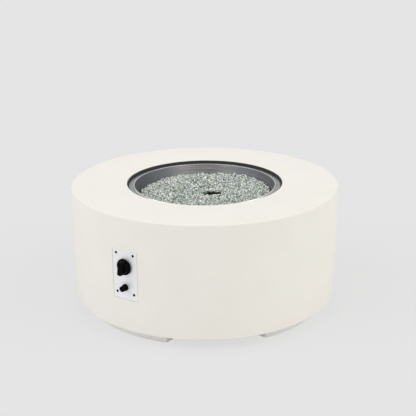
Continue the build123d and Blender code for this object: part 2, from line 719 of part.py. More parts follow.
with BuildPart() as electrode_rod:
    with BuildSketch(Plane.XY.offset(rod_z)):
        with Locations((electrode_x, hood_y)):
            Circle(ROD_DIAMETER / 2)
    extrude(amount=rod_top_z - rod_z)
electrode_rod.part.label = "electrode_rod"
export_step(electrode_rod.part, "parts/electrode_rod.step")

# Thermocouple: a probe through the pan's floor, held by its hexagon on the bracket
probe_z = pan_under_z - PROBE_DROP
with BuildPart() as thermocouple:
    with BuildSketch(Plane.XY.offset(probe_z)):
        with Locations((thermocouple_x, hood_y)):
            Circle(PROBE_DIAMETER / 2)
    extrude(amount=PROBE_LENGTH)
    with BuildSketch(Plane.XY.offset(bracket_top_z)):
        with Locations((thermocouple_x, hood_y)):
            RegularPolygon(PROBE_HEX_FLATS / 2, 6, major_radius=False)
    extrude(amount=PROBE_HEX_HEIGHT)
thermocouple.part.label = "thermocouple"
export_step(thermocouple.part, "parts/thermocouple.step")

# Glass media: one bed of glass chips that fills the pan round the burner and the hood
glass_floor_z = pan_floor_z + GLASS_GAP
glass_side_gap = GLASS_GAP * side_length
glass_corner = PAN_FLOOR_RADIUS
with BuildPart() as glass_media:
    with BuildSketch(Plane.XZ):
        with BuildLine():
            Polyline(
                (0, glass_floor_z),
                (pan_floor_r - glass_corner, glass_floor_z),
                (
                    pan_floor_r + side_lean * glass_corner - glass_side_gap,
                    pan_floor_z + glass_corner,
                ),
                (
                    pan_floor_r + side_lean * (glass_z - pan_floor_z) - glass_side_gap,
                    glass_z,
                ),
                (0, glass_z),
                close=True,
            )
        make_face()
    revolve(axis=Axis.Z)
    with BuildSketch(Plane.XY.offset(glass_floor_z)):
        burner_outline(-TRENCH_GAP)
    extrude(amount=burner_top_z + TRENCH_GAP - glass_floor_z, mode=Mode.SUBTRACT)
    with BuildSketch(Plane.XY.offset(glass_floor_z)):
        with PolarLocations(OUTER_RING_DIAMETER / 2, STANDOFFS, start_angle=STANDOFF_AZIMUTH - 90):
            Rectangle(STANDOFF_WIDTH + 2 * TRENCH_GAP, STANDOFF_SPAN + 2 * STANDOFF_FOOT + 2 * TRENCH_GAP)
    extrude(amount=burner_z - glass_floor_z, mode=Mode.SUBTRACT)
    with BuildSketch(Plane.XY.offset(glass_floor_z)):
        with Locations((HOOD_X, hood_y)):
            Rectangle(HOOD_WIDTH + 2 * TRENCH_GAP, HOOD_DEPTH + 2 * TRENCH_GAP)
    extrude(amount=glass_z - glass_floor_z, mode=Mode.SUBTRACT)
    with BuildSketch(Plane.XY.offset(glass_floor_z)):
        with Locations((HOOD_X, hood_y)):
            Rectangle(HOOD_WIDTH + 2 * HOOD_FOOT + 2 * TRENCH_GAP, BRACKET_DEPTH + 2 * TRENCH_GAP)
    extrude(
        amount=hood_seat_z + HOOD_SCREW_HEAD_HEIGHT + TRENCH_GAP - glass_floor_z,
        mode=Mode.SUBTRACT,
    )
glass_media.part.label = "glass_media"
export_step(glass_media.part, "parts/glass_media.step")

# Elbow: turns the gas way from the nipple towards the control panel
elbow_top_z = nipple_end_z + ELBOW_SOCKET_DEPTH
elbow_z = nipple_end_z - ELBOW_DROP
with BuildPart() as burner_elbow:
    with BuildSketch(Plane.XY.offset(elbow_z - ELBOW_DIAMETER / 2)):
        Circle(ELBOW_DIAMETER / 2)
    extrude(amount=elbow_top_z - elbow_z + ELBOW_DIAMETER / 2)
    with BuildSketch(panel_frame):
        with Locations((0, elbow_z)):
            Circle(ELBOW_DIAMETER / 2 - BURNER_SHEET)
    extrude(amount=ELBOW_REACH)
    with BuildSketch(Plane.XY.offset(elbow_z)):
        Circle(ELBOW_BORE_DIAMETER / 2)
    extrude(amount=nipple_end_z - elbow_z, mode=Mode.SUBTRACT)
    with BuildSketch(Plane.XY.offset(nipple_end_z)):
        Circle(NIPPLE_DIAMETER / 2 + THREAD_FIT)
    extrude(amount=ELBOW_SOCKET_DEPTH, mode=Mode.SUBTRACT)
    with BuildSketch(panel_frame):
        with Locations((0, elbow_z)):
            Circle(ELBOW_BORE_DIAMETER / 2)
    extrude(amount=ELBOW_REACH, mode=Mode.SUBTRACT)
burner_elbow.part.label = "burner_elbow"
export_step(burner_elbow.part, "parts/burner_elbow.step")

# Air mixer: a tube with cross holes that let air in, between the elbow and the gas tube
mixer_end_d = ELBOW_REACH + MIXER_BODY
flare_end_d = mixer_end_d + FLARE_LENGTH
with BuildPart() as air_mixer:
    with BuildSketch(panel_frame.offset(ELBOW_REACH)):
        with Locations((0, elbow_z)):
            Circle(ELBOW_BORE_DIAMETER / 2 - THREAD_FIT)
    extrude(amount=-MIXER_SPIGOT)
    with BuildSketch(panel_frame.offset(ELBOW_REACH)):
        with Locations((0, elbow_z)):
            Circle(MIXER_DIAMETER / 2)
    extrude(amount=MIXER_BODY)
    with BuildSketch(panel_frame.offset(mixer_end_d)):
        with Locations((0, elbow_z)):
            Circle(FLARE_DIAMETER / 2)
    extrude(amount=FLARE_LENGTH)
    with BuildSketch(panel_frame.offset(ELBOW_REACH - MIXER_SPIGOT)):
        with Locations((0, elbow_z)):
            Circle(MIXER_BORE_DIAMETER / 2)
    extrude(amount=flare_end_d - ELBOW_REACH + MIXER_SPIGOT, mode=Mode.SUBTRACT)
    port_centre = in_panel(0, elbow_z, ELBOW_REACH + MIXER_PORT_PLACE)
    for port_axis in ((0, 0, 1), tuple(panel_frame.x_dir)):
        with BuildSketch(Plane(origin=port_centre, z_dir=port_axis)):
            Circle(MIXER_PORT_DIAMETER / 2)
        extrude(amount=MIXER_DIAMETER, both=True, mode=Mode.SUBTRACT)
air_mixer.part.label = "air_mixer"
export_step(air_mixer.part, "parts/air_mixer.step")

# Gas jet: the plug with the metering hole, screwed into the mixer behind its air holes
with BuildPart() as gas_jet:
    with BuildSketch(panel_frame.offset(ELBOW_REACH + JET_PLACE)):
        with Locations((0, elbow_z)):
            Circle(MIXER_BORE_DIAMETER / 2 - THREAD_FIT)
            Circle(JET_ORIFICE_DIAMETER / 2, mode=Mode.SUBTRACT)
    extrude(amount=JET_LENGTH)
gas_jet.part.label = "gas_jet"
export_step(gas_jet.part, "parts/gas_jet.step")

# Control panel: a flat metal plate with holes for the valve, the igniter and four screws
with BuildPart() as control_panel:
    with BuildSketch(panel_frame.offset(seat_d)):
        with Locations((0, PANEL_CENTRE_Z)):
            RectangleRounded(PANEL_WIDTH, PANEL_HEIGHT, PANEL_CORNER)
        with Locations((0, knob_z)):
            Circle(NECK_DIAMETER / 2 + HOLE_FIT, mode=Mode.SUBTRACT)
        with Locations((0, igniter_z)):
            Circle(IGNITER_BARREL_DIAMETER / 2 + HOLE_FIT, mode=Mode.SUBTRACT)
        with Locations((0, screw_centre_z)):
            with GridLocations(SCREW_PATTERN_WIDTH, SCREW_PATTERN_HEIGHT, 2, 2):
                Circle(SCREW_HOLE_DIAMETER / 2, mode=Mode.SUBTRACT)
    extrude(amount=PANEL_THICKNESS)
control_panel.part.label = "control_panel"
export_step(control_panel.part, "parts/control_panel.step")

# Panel screws: button heads with a hexagon socket, each in a threaded insert cast into the wall
with BuildPart() as panel_screws:
    with BuildSketch(panel_frame.offset(front_d)):
        with Locations((0, screw_centre_z)):
            with GridLocations(SCREW_PATTERN_WIDTH, SCREW_PATTERN_HEIGHT, 2, 2):
                Circle(SCREW_HEAD_DIAMETER / 2)
    extrude(amount=SCREW_HEAD_HEIGHT, taper=SCREW_HEAD_TAPER)
    with BuildSketch(panel_frame.offset(front_d)):
        with Locations((0, screw_centre_z)):
            with GridLocations(SCREW_PATTERN_WIDTH, SCREW_PATTERN_HEIGHT, 2, 2):
                Circle(SCREW_DIAMETER / 2)
    extrude(amount=-SCREW_LENGTH)
    with BuildSketch(panel_frame.offset(front_d + SCREW_HEAD_HEIGHT)):
        with Locations((0, screw_centre_z)):
            with GridLocations(SCREW_PATTERN_WIDTH, SCREW_PATTERN_HEIGHT, 2, 2):
                RegularPolygon(SCREW_SOCKET_FLATS / 2, 6, major_radius=False)
    extrude(amount=-SCREW_SOCKET_DEPTH, mode=Mode.SUBTRACT)
panel_screws.part.label = "panel_screws"
export_step(panel_screws.part, "parts/panel_screws.step")

with BuildPart() as panel_inserts:
    with BuildSketch(panel_frame.offset(seat_d)):
        with Locations((0, screw_centre_z)):
            with GridLocations(SCREW_PATTERN_WIDTH, SCREW_PATTERN_HEIGHT, 2, 2):
                Circle(INSERT_DIAMETER / 2)
                Circle(SCREW_DIAMETER / 2 + THREAD_FIT, mode=Mode.SUBTRACT)
    extrude(amount=-INSERT_LENGTH)
panel_inserts.part.label = "panel_inserts"
export_step(panel_inserts.part, "parts/panel_inserts.step")

# Gas valve: a body clamped behind the panel by its threaded neck, with a plunger bore on the
# knob's axis, an inlet at its side, and an outlet and a thermocouple port at its back
valve_front_d = inner_r - VALVE_WALL_GAP
valve_back_d = valve_front_d - VALVE_DEPTH
neck_end_d = seat_d + NECK_LENGTH
cavity_front_d = valve_front_d - PANEL_THICKNESS / 2
plunger_front_d = cavity_front_d - REST_GAP
plunger_back_d = plunger_front_d - PLUNGER_LENGTH
spring_front_d = plunger_back_d - REST_GAP
cavity_back_d = spring_front_d - SPRING_LENGTH
outlet_z = knob_z + OUTLET_RISE
outlet_end_d = valve_back_d - FLARE_LENGTH
inlet_z = knob_z - VALVE_FALL + INLET_BOSS_FLATS / 2
inlet_d = (valve_front_d + valve_back_d) / 2
inlet_plane = Plane(
    origin=in_panel(VALVE_WIDTH / 2, inlet_z, inlet_d),
    x_dir=(0, 0, 1),
    z_dir=tuple(panel_frame.x_dir),
)
with BuildPart() as valve_body:
    with BuildSketch(panel_frame.offset(seat_d)):
        with Locations((0, knob_z)):
            Circle(NECK_DIAMETER / 2)
    extrude(amount=NECK_LENGTH)
    with BuildSketch(panel_frame.offset(seat_d)):
        with Locations((0, knob_z)):
            Circle(VALVE_SHOULDER_DIAMETER / 2)
    extrude(amount=valve_front_d - seat_d)
    with BuildSketch(panel_frame.offset(valve_front_d)):
        with Locations((0, knob_z + (VALVE_RISE - VALVE_FALL) / 2)):
            RectangleRounded(VALVE_WIDTH, VALVE_RISE + VALVE_FALL, PANEL_CORNER * 2)
    extrude(amount=-VALVE_DEPTH)
    with BuildSketch(panel_frame.offset(valve_back_d)):
        with Locations((0, outlet_z)):
            Circle(FLARE_DIAMETER / 2)
    extrude(amount=-FLARE_LENGTH)
    with BuildSketch(panel_frame.offset(valve_back_d)):
        with Locations((0, knob_z)):
            Circle(PROBE_PORT_DIAMETER / 2)
    extrude(amount=-PROBE_PORT_LENGTH)
    with BuildSketch(inlet_plane):
        RegularPolygon(INLET_BOSS_FLATS / 2, 6, major_radius=False)
    extrude(amount=INLET_BOSS_LENGTH)
    with BuildSketch(inlet_plane.offset(INLET_BOSS_LENGTH)):
        Circle(INLET_SPIGOT_DIAMETER / 2 + THREAD_FIT)
    extrude(amount=-(INLET_SPIGOT_LENGTH + REST_GAP), mode=Mode.SUBTRACT)
    with BuildSketch(panel_frame.offset(outlet_end_d)):
        with Locations((0, outlet_z)):
            Circle(INLET_BORE_DIAMETER / 2)
    extrude(amount=2 * FLARE_LENGTH, mode=Mode.SUBTRACT)
    with BuildSketch(panel_frame.offset(cavity_back_d)):
        with Locations((0, knob_z)):
            Circle(PLUNGER_DIAMETER / 2 + SLIDE_FIT)
    extrude(amount=cavity_front_d - cavity_back_d, mode=Mode.SUBTRACT)
    with BuildSketch(panel_frame.offset(cavity_front_d)):
        with Locations((0, knob_z)):
            Circle(STEM_DIAMETER / 2 + SLIDE_FIT)
    extrude(amount=neck_end_d - cavity_front_d, mode=Mode.SUBTRACT)
valve_body.part.label = "valve_body"
export_step(valve_body.part, "parts/valve_body.step")

# Inlet elbow: screws into the valve's side and ends below in a male thread for a gas hose
inlet_leg_x = VALVE_WIDTH / 2 + INLET_BOSS_LENGTH + INLET_ELBOW_REACH
inlet_thread_z = inlet_z - INLET_ELBOW_DROP
inlet_end_z = inlet_thread_z - INLET_THREAD_LENGTH
inlet_leg_plane = Plane(origin=in_panel(inlet_leg_x, inlet_end_z, inlet_d), z_dir=(0, 0, 1))
with BuildPart() as inlet_elbow:
    with BuildSketch(inlet_plane.offset(INLET_BOSS_LENGTH)):
        Circle(INLET_SPIGOT_DIAMETER / 2)
    extrude(amount=-INLET_SPIGOT_LENGTH)
    with BuildSketch(inlet_plane.offset(INLET_BOSS_LENGTH)):
        Circle(INLET_ELBOW_DIAMETER / 2 - PANEL_THICKNESS / 2)
    extrude(amount=INLET_ELBOW_REACH)
    with BuildSketch(inlet_leg_plane.offset(INLET_THREAD_LENGTH)):
        Circle(INLET_ELBOW_DIAMETER / 2)
    extrude(amount=INLET_ELBOW_DROP + INLET_ELBOW_DIAMETER / 2)
    with BuildSketch(inlet_leg_plane):
        Circle(INLET_THREAD_DIAMETER / 2)
    extrude(amount=INLET_THREAD_LENGTH)
    with BuildSketch(inlet_leg_plane):
        Circle(INLET_BORE_DIAMETER / 2)
    extrude(amount=inlet_z - inlet_end_z, mode=Mode.SUBTRACT)
inlet_elbow.part.label = "inlet_elbow"
export_step(inlet_elbow.part, "parts/inlet_elbow.step")

# Valve nut: holds the neck to the panel's front, hidden under the knob's skirt
with BuildPart() as valve_nut:
    with BuildSketch(panel_frame.offset(front_d)):
        with Locations((0, knob_z)):
            RegularPolygon(NECK_NUT_FLATS / 2, 6, major_radius=False)
            Circle(NECK_DIAMETER / 2 + THREAD_FIT, mode=Mode.SUBTRACT)
    extrude(amount=NECK_NUT_HEIGHT)
valve_nut.part.label = "valve_nut"
export_step(valve_nut.part, "parts/valve_nut.step")

# Valve plunger: the safety plunger that the stem pushes in against its spring
with BuildPart() as valve_plunger:
    with BuildSketch(panel_frame.offset(plunger_front_d)):
        with Locations((0, knob_z)):
            Circle(PLUNGER_DIAMETER / 2)
    extrude(amount=-PLUNGER_LENGTH)
valve_plunger.part.label = "valve_plunger"
export_step(valve_plunger.part, "parts/valve_plunger.step")

# Valve spring, as the sleeve that its coil fills behind the plunger
with BuildPart() as valve_spring:
    with BuildSketch(panel_frame.offset(spring_front_d)):
        with Locations((0, knob_z)):
            Circle(SPRING_DIAMETER / 2)
            Circle(SPRING_DIAMETER / 2 - SPRING_WIRE, mode=Mode.SUBTRACT)
    extrude(amount=cavity_back_d - spring_front_d)
valve_spring.part.label = "valve_spring"
export_step(valve_spring.part, "parts/valve_spring.step")

# Valve stem: a round shaft with a flat where the knob grips it
knob_front_d = front_d + KNOB_HEIGHT
stem_end_d = knob_front_d - KNOB_CAP_THICKNESS
knob_grip_d = neck_end_d + KNOB_TRAVEL + KNOB_NECK_CLEARANCE
with BuildPart() as valve_stem:
    with BuildSketch(panel_frame.offset(cavity_front_d)):
        with Locations((0, knob_z)):
            Circle(STEM_DIAMETER / 2)
    extrude(amount=stem_end_d - cavity_front_d)
    with BuildSketch(panel_frame.offset(neck_end_d)):
        with Locations((0, knob_z - STEM_FLAT - STEM_DIAMETER / 2)):
            Rectangle(STEM_DIAMETER, STEM_DIAMETER)
    extrude(amount=stem_end_d - neck_end_d, mode=Mode.SUBTRACT)
valve_stem.part.label = "valve_stem"
export_step(valve_stem.part, "parts/valve_stem.step")

# Control knob: a round skirt, a conical boss and a grip bar right across, hollow underneath
skirt_d = front_d + KNOB_TRAVEL + KNOB_CLEARANCE
skirt_front_d = skirt_d + KNOB_SKIRT_THICKNESS
mark_z = KNOB_BAR_LENGTH / 2 - KNOB_MARK_LENGTH / 2
with BuildPart() as control_knob:
    with BuildSketch(panel_frame.offset(skirt_d)):
        with Locations((0, knob_z)):
            Circle(KNOB_SKIRT_DIAMETER / 2)
    extrude(amount=KNOB_SKIRT_THICKNESS)
    chamfer(control_knob.faces().sort_by(Axis((0, 0, 0), panel_frame.z_dir))[-1].edges(), KNOB_BEVEL)
    with BuildSketch(panel_frame.offset(skirt_front_d)):
        with Locations((0, knob_z)):
            Circle(KNOB_BOSS_DIAMETER / 2)
    extrude(amount=KNOB_BOSS_HEIGHT, taper=KNOB_BOSS_TAPER)
    with BuildSketch(panel_frame.offset(skirt_front_d)):
        with Locations((0, knob_z)):
            RectangleRounded(
                KNOB_BAR_WIDTH,
                KNOB_BAR_LENGTH,
                KNOB_BAR_CORNER,
                rotation=KNOB_TILT,
            )
    extrude(amount=knob_front_d - skirt_front_d, taper=KNOB_DRAFT)
    chamfer(control_knob.faces().sort_by(Axis((0, 0, 0), panel_frame.z_dir))[-1].edges(), KNOB_BEVEL)
    with BuildSketch(panel_frame.offset(knob_front_d)):
        with Locations(Location((0, knob_z), KNOB_TILT)):
            with Locations((0, mark_z)):
                Rectangle(KNOB_MARK_WIDTH, KNOB_MARK_LENGTH)
    extrude(amount=-KNOB_MARK_DEPTH, mode=Mode.SUBTRACT)
    with BuildSketch(panel_frame.offset(skirt_d)):
        with Locations((0, knob_z)):
            Circle(KNOB_CAVITY_DIAMETER / 2)
    extrude(amount=knob_grip_d - skirt_d, taper=KNOB_CAVITY_TAPER, mode=Mode.SUBTRACT)
    with BuildSketch(panel_frame.offset(knob_grip_d)):
        with Locations((0, knob_z)):
            Circle(STEM_DIAMETER / 2 + THREAD_FIT)
        with Locations((0, knob_z - STEM_FLAT - THREAD_FIT - STEM_DIAMETER / 2)):
            Rectangle(2 * STEM_DIAMETER, STEM_DIAMETER, mode=Mode.SUBTRACT)
    extrude(amount=stem_end_d + REST_GAP - knob_grip_d, mode=Mode.SUBTRACT)
control_knob.part.label = "control_knob"
export_step(control_knob.part, "parts/control_knob.step")

# Igniter housing: a bezel cup in front of the panel and a battery barrel behind it
bezel_floor_d = front_d + IGNITER_BEZEL_FLOOR
barrel_stop_d = front_d - IGNITER_BEZEL_FLOOR
shank_collar_d = barrel_stop_d - REST_GAP
shank_end_d = shank_collar_d - SHANK_COLLAR_THICKNESS
contact_front_d = shank_end_d - REST_GAP
battery_front_d = contact_front_d - CONTACT_SPRING_LENGTH
battery_back_d = battery_front_d - BATTERY_LENGTH
barrel_end_d = battery_back_d - BATTERY_TIP_LENGTH
barrel_back_d = barrel_end_d - IGNITER_END_WALL
terminal_d = barrel_back_d - IGNITER_TERMINAL_LENGTH
with BuildPart() as igniter_housing:
    with BuildSketch(panel_frame.offset(front_d)):
        with Locations((0, igniter_z)):
            Circle(IGNITER_BEZEL_DIAMETER / 2)
    extrude(amount=IGNITER_BEZEL_HEIGHT)
    chamfer(igniter_housing.faces().sort_by(Axis((0, 0, 0), panel_frame.z_dir))[-1].edges(), KNOB_BEVEL)
    with BuildSketch(panel_frame.offset(front_d)):
        with Locations((0, igniter_z)):
            Circle(IGNITER_BARREL_DIAMETER / 2)
    extrude(amount=barrel_back_d - front_d)
    with BuildSketch(panel_frame.offset(barrel_back_d)):
        with Locations((0, igniter_z)):
            Circle(IGNITER_TERMINAL_DIAMETER / 2)
    extrude(amount=-IGNITER_TERMINAL_LENGTH)
    with BuildSketch(panel_frame.offset(bezel_floor_d)):
        with Locations((0, igniter_z)):
            Circle(BUTTON_DIAMETER / 2 + HOLE_FIT)
    extrude(amount=IGNITER_BEZEL_HEIGHT, mode=Mode.SUBTRACT)
    with BuildSketch(panel_frame.offset(barrel_stop_d)):
        with Locations((0, igniter_z)):
            Circle(IGNITER_BORE_DIAMETER / 2)
    extrude(amount=barrel_end_d - barrel_stop_d, mode=Mode.SUBTRACT)
    with BuildSketch(panel_frame.offset(barrel_stop_d)):
        with Locations((0, igniter_z)):
            Circle(SHANK_DIAMETER / 2 + SLIDE_FIT)
    extrude(amount=bezel_floor_d - barrel_stop_d, mode=Mode.SUBTRACT)
igniter_housing.part.label = "igniter_housing"
export_step(igniter_housing.part, "parts/igniter_housing.step")

with BuildPart() as igniter_locknut:
    with BuildSketch(panel_frame.offset(seat_d)):
        with Locations((0, igniter_z)):
            RegularPolygon(IGNITER_NUT_FLATS / 2, 6, major_radius=False)
            Circle(IGNITER_BARREL_DIAMETER / 2 + THREAD_FIT, mode=Mode.SUBTRACT)
    extrude(amount=-IGNITER_NUT_HEIGHT)
igniter_locknut.part.label = "igniter_locknut"
export_step(igniter_locknut.part, "parts/igniter_locknut.step")

# Igniter button: a bevelled cap on a shank that slides in the bezel's floor, with a collar behind
button_back_d = bezel_floor_d + IGNITER_TRAVEL + REST_GAP
button_front_d = front_d + BUTTON_HEIGHT
with BuildPart() as igniter_button:
    with BuildSketch(panel_frame.offset(button_back_d)):
        with Locations((0, igniter_z)):
            Circle(BUTTON_DIAMETER / 2)
    extrude(amount=button_front_d - button_back_d)
    chamfer(igniter_button.faces().sort_by(Axis((0, 0, 0), panel_frame.z_dir))[-1].edges(), BUTTON_BEVEL)
    with BuildSketch(panel_frame.offset(button_back_d)):
        with Locations((0, igniter_z)):
            Circle(SHANK_DIAMETER / 2)
    extrude(amount=shank_end_d - button_back_d)
    with BuildSketch(panel_frame.offset(shank_end_d)):
        with Locations((0, igniter_z)):
            Circle(SHANK_COLLAR_DIAMETER / 2)
    extrude(amount=SHANK_COLLAR_THICKNESS)
igniter_button.part.label = "igniter_button"
export_step(igniter_button.part, "parts/igniter_button.step")

# Igniter battery: a round cell whose tip meets the rear terminal
with BuildPart() as igniter_battery:
    with BuildSketch(panel_frame.offset(battery_back_d)):
        with Locations((0, igniter_z)):
            Circle(BATTERY_DIAMETER / 2)
    extrude(amount=BATTERY_LENGTH)
    with BuildSketch(panel_frame.offset(battery_back_d)):
        with Locations((0, igniter_z)):
            Circle(BATTERY_TIP_DIAMETER / 2)
    extrude(amount=-BATTERY_TIP_LENGTH)
igniter_battery.part.label = "igniter_battery"
export_step(igniter_battery.part, "parts/igniter_battery.step")

# Contact spring, as the sleeve that its coil fills between the battery and the button's shank
with BuildPart() as contact_spring:
    with BuildSketch(panel_frame.offset(battery_front_d)):
        with Locations((0, igniter_z)):
            Circle(CONTACT_SPRING_DIAMETER / 2)
            Circle(CONTACT_SPRING_DIAMETER / 2 - SPRING_WIRE, mode=Mode.SUBTRACT)
    extrude(amount=CONTACT_SPRING_LENGTH)
contact_spring.part.label = "contact_spring"
export_step(contact_spring.part, "parts/contact_spring.step")

# Gas tube from the air mixer to the valve's outlet
hose_start = Vector(0, elbow_z, flare_end_d)
hose_end = Vector(0, outlet_z, outlet_end_d)
hose_steps = [(0.366, 14, -3), (0.636, 10, -9)]
hose_route = [
    in_panel(*hose_start),
    in_panel(*(hose_start + Vector(0, 0, HOSE_START_RUN))),
    *route_between(hose_start, hose_end, hose_steps),
    in_panel(*(hose_end - Vector(0, 0, HOSE_END_RUN))),
    in_panel(*hose_end),
]
hose_radii = route_radii(hose_route)
with BuildPart() as burner_hose:
    with BuildLine() as hose_line:
        FilletPolyline(*hose_route, radius=hose_radii)
    with BuildSketch(Plane(origin=hose_line.line @ 0, z_dir=hose_line.line % 0)):
        Circle(HOSE_DIAMETER / 2)
    sweep(path=hose_line.line)
report_route("burner_hose", hose_radii, burner_hose.part, HOSE_DIAMETER, hose_line.wire().length)
burner_hose.part.label = "burner_hose"
export_step(burner_hose.part, "parts/burner_hose.step")

# Hose nuts: one over each flare, bored to the thread on one side and to the tube on the other
with BuildPart() as hose_nuts:
    for nut_z_level, thread_end_d, outward in ((elbow_z, flare_end_d, 1), (outlet_z, outlet_end_d, -1)):
        with BuildSketch(panel_frame.offset(thread_end_d - outward * HOSE_NUT_GRIP)):
            with Locations((0, nut_z_level)):
                RegularPolygon(HOSE_NUT_FLATS / 2, 6, major_radius=False)
        extrude(amount=outward * HOSE_NUT_LENGTH)
        with BuildSketch(panel_frame.offset(thread_end_d - outward * HOSE_NUT_GRIP)):
            with Locations((0, nut_z_level)):
                Circle(FLARE_DIAMETER / 2 + THREAD_FIT)
        extrude(amount=outward * HOSE_NUT_GRIP, mode=Mode.SUBTRACT)
        with BuildSketch(panel_frame.offset(thread_end_d)):
            with Locations((0, nut_z_level)):
                Circle(HOSE_DIAMETER / 2 + THREAD_FIT)
        extrude(amount=outward * HOSE_NUT_LENGTH, mode=Mode.SUBTRACT)
hose_nuts.part.label = "hose_nuts"
export_step(hose_nuts.part, "parts/hose_nuts.step")

# Thermocouple lead from the probe's foot to the port at the back of the valve
lead_start = panel_frame.to_local_coords(Vector(thermocouple_x, hood_y, probe_z))
lead_end = Vector(0, knob_z, valve_back_d - PROBE_PORT_LENGTH)
lead_steps = [
    (0.126, 7.8, -49),
    (0.240, 10.1, -45),
    (0.358, 11.6, -41),
    (0.478, 12.2, -34.5),
    (0.599, 10.9, -29.5),
    (0.715, 7.3, -22),
    (0.822, 0.2, -14),
]
lead_route = [
    in_panel(*lead_start),
    in_panel(*(lead_start - Vector(0, LEAD_DROP, 0))),
    in_panel(*(lead_start + Vector(LEAD_BEND_ASIDE, -LEAD_BEND_DROP, LEAD_BEND_REACH))),
    *route_between(lead_start, lead_end, lead_steps),
    in_panel(*(lead_end - Vector(0, 0, LEAD_END_RUN))),
    in_panel(*lead_end),
]
lead_radii = route_radii(lead_route)
with BuildPart() as thermocouple_lead:
    with BuildLine() as lead_line:
        FilletPolyline(*lead_route, radius=lead_radii)
    with BuildSketch(Plane(origin=lead_line.line @ 0, z_dir=lead_line.line % 0)):
        Circle(LEAD_DIAMETER / 2)
    sweep(path=lead_line.line)
report_route("thermocouple_lead", lead_radii, thermocouple_lead.part, LEAD_DIAMETER, lead_line.wire().length)
thermocouple_lead.part.label = "thermocouple_lead"
export_step(thermocouple_lead.part, "parts/thermocouple_lead.step")

# Igniter wire from the foot of the electrode's rod to the igniter's rear terminal
wire_start = panel_frame.to_local_coords(Vector(electrode_x, hood_y, rod_z))
wire_end = Vector(0, igniter_z, terminal_d)
wire_steps = [
    (0.141, 2.8, -47),
    (0.260, 2.4, -43.5),
    (0.379, 2.0, -40.5),
    (0.506, 0.9, -38),
    (0.632, -1.2, -32),
    (0.751, -3.6, -26),
    (0.862, -4.3, -18),
]
wire_route = [
    in_panel(*wire_start),
    in_panel(*(wire_start - Vector(0, WIRE_DROP, 0))),
    in_panel(*(wire_start + Vector(WIRE_BEND_ASIDE, -WIRE_BEND_DROP, WIRE_BEND_REACH))),
    *route_between(wire_start, wire_end, wire_steps),
    in_panel(*(wire_end - Vector(0, 0, WIRE_END_RUN))),
    in_panel(*wire_end),
]
wire_radii = route_radii(wire_route)
with BuildPart() as igniter_wire:
    with BuildLine() as wire_line:
        FilletPolyline(*wire_route, radius=wire_radii)
    with BuildSketch(Plane(origin=wire_line.line @ 0, z_dir=wire_line.line % 0)):
        Circle(WIRE_DIAMETER / 2)
    sweep(path=wire_line.line)
report_route("igniter_wire", wire_radii, igniter_wire.part, WIRE_DIAMETER, wire_line.wire().length)
igniter_wire.part.label = "igniter_wire"
export_step(igniter_wire.part, "parts/igniter_wire.step")
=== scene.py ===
import math
import random

import bmesh
import bpy
from mathutils import Matrix, Vector, noise


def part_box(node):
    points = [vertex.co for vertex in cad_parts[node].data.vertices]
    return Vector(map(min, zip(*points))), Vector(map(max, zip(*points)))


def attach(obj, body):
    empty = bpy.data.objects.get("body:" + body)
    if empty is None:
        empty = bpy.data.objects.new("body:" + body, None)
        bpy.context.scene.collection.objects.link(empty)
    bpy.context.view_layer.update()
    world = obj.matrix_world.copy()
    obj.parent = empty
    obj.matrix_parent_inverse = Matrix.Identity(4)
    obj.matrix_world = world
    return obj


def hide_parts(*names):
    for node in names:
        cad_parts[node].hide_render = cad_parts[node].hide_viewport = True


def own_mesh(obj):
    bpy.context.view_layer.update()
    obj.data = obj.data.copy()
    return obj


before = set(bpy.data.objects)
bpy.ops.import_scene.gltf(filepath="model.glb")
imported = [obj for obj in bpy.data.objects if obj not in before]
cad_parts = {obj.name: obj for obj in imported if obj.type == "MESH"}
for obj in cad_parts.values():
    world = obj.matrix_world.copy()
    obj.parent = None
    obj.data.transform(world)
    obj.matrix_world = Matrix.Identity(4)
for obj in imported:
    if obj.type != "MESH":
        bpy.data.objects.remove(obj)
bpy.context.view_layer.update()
scene = bpy.context.scene

# Camera: it stands 3.3 m from the table's axis and 1.48 m above the floor, a little to the left
# of the front, and looks down at the fire opening. The square picture sets the lens.
CAMERA_PLACE = (-0.2879, -3.2902, 1.4826)
CAMERA_HEADING = math.radians(-5.222)
CAMERA_DOWN = math.radians(18.666)
CAMERA_ROLL = math.radians(-0.362)
LENS = 73.87
SENSOR = 36.0
VIEW_REACH = 200.0
RIGHT_ANGLE = math.pi / 2
camera = bpy.data.objects.new("camera", bpy.data.cameras.new("camera"))
scene.collection.objects.link(camera)
camera.data.lens = LENS
camera.data.sensor_width = SENSOR
camera.data.clip_end = VIEW_REACH
camera.matrix_world = (
    Matrix.Translation(CAMERA_PLACE)
    @ Matrix.Rotation(CAMERA_HEADING, 4, "Z")
    @ Matrix.Rotation(RIGHT_ANGLE - CAMERA_DOWN, 4, "X")
    @ Matrix.Rotation(CAMERA_ROLL, 4, "Z")
)
scene.camera = camera
scene.view_settings.view_transform = "Standard"

# Room: a plain pale studio without corners. The air lights the table evenly from all round, and
# the eye, metal and glass see the same light grey behind it.
ROOM_WHITE = (1.0, 1.0, 1.0)
ROOM_GREY = (0.776, 0.776, 0.776)
ROOM_LIGHT = 0.62


def add_node(tree, kind, inputs=None, **settings):
    """Add a node to a tree, with its settings, and give its inputs values or links."""
    node = tree.nodes.new(kind)
    for key, value in settings.items():
        setattr(node, key, value)
    for key, value in (inputs or {}).items():
        socket = node.inputs[key]
        if isinstance(value, bpy.types.NodeSocket):
            tree.links.new(value, socket)
        elif socket.type == "RGBA":
            socket.default_value = (*value, 1.0)
        else:
            socket.default_value = value
    return node


def flow(tree, kind, inputs=None, **settings):
    """Add a node and take its first output."""
    return add_node(tree, kind, inputs, **settings).outputs[0]


def calculate(tree, operation, first, second):
    """One sum with two numbers."""
    return flow(tree, "ShaderNodeMath", {0: first, 1: second}, operation=operation)


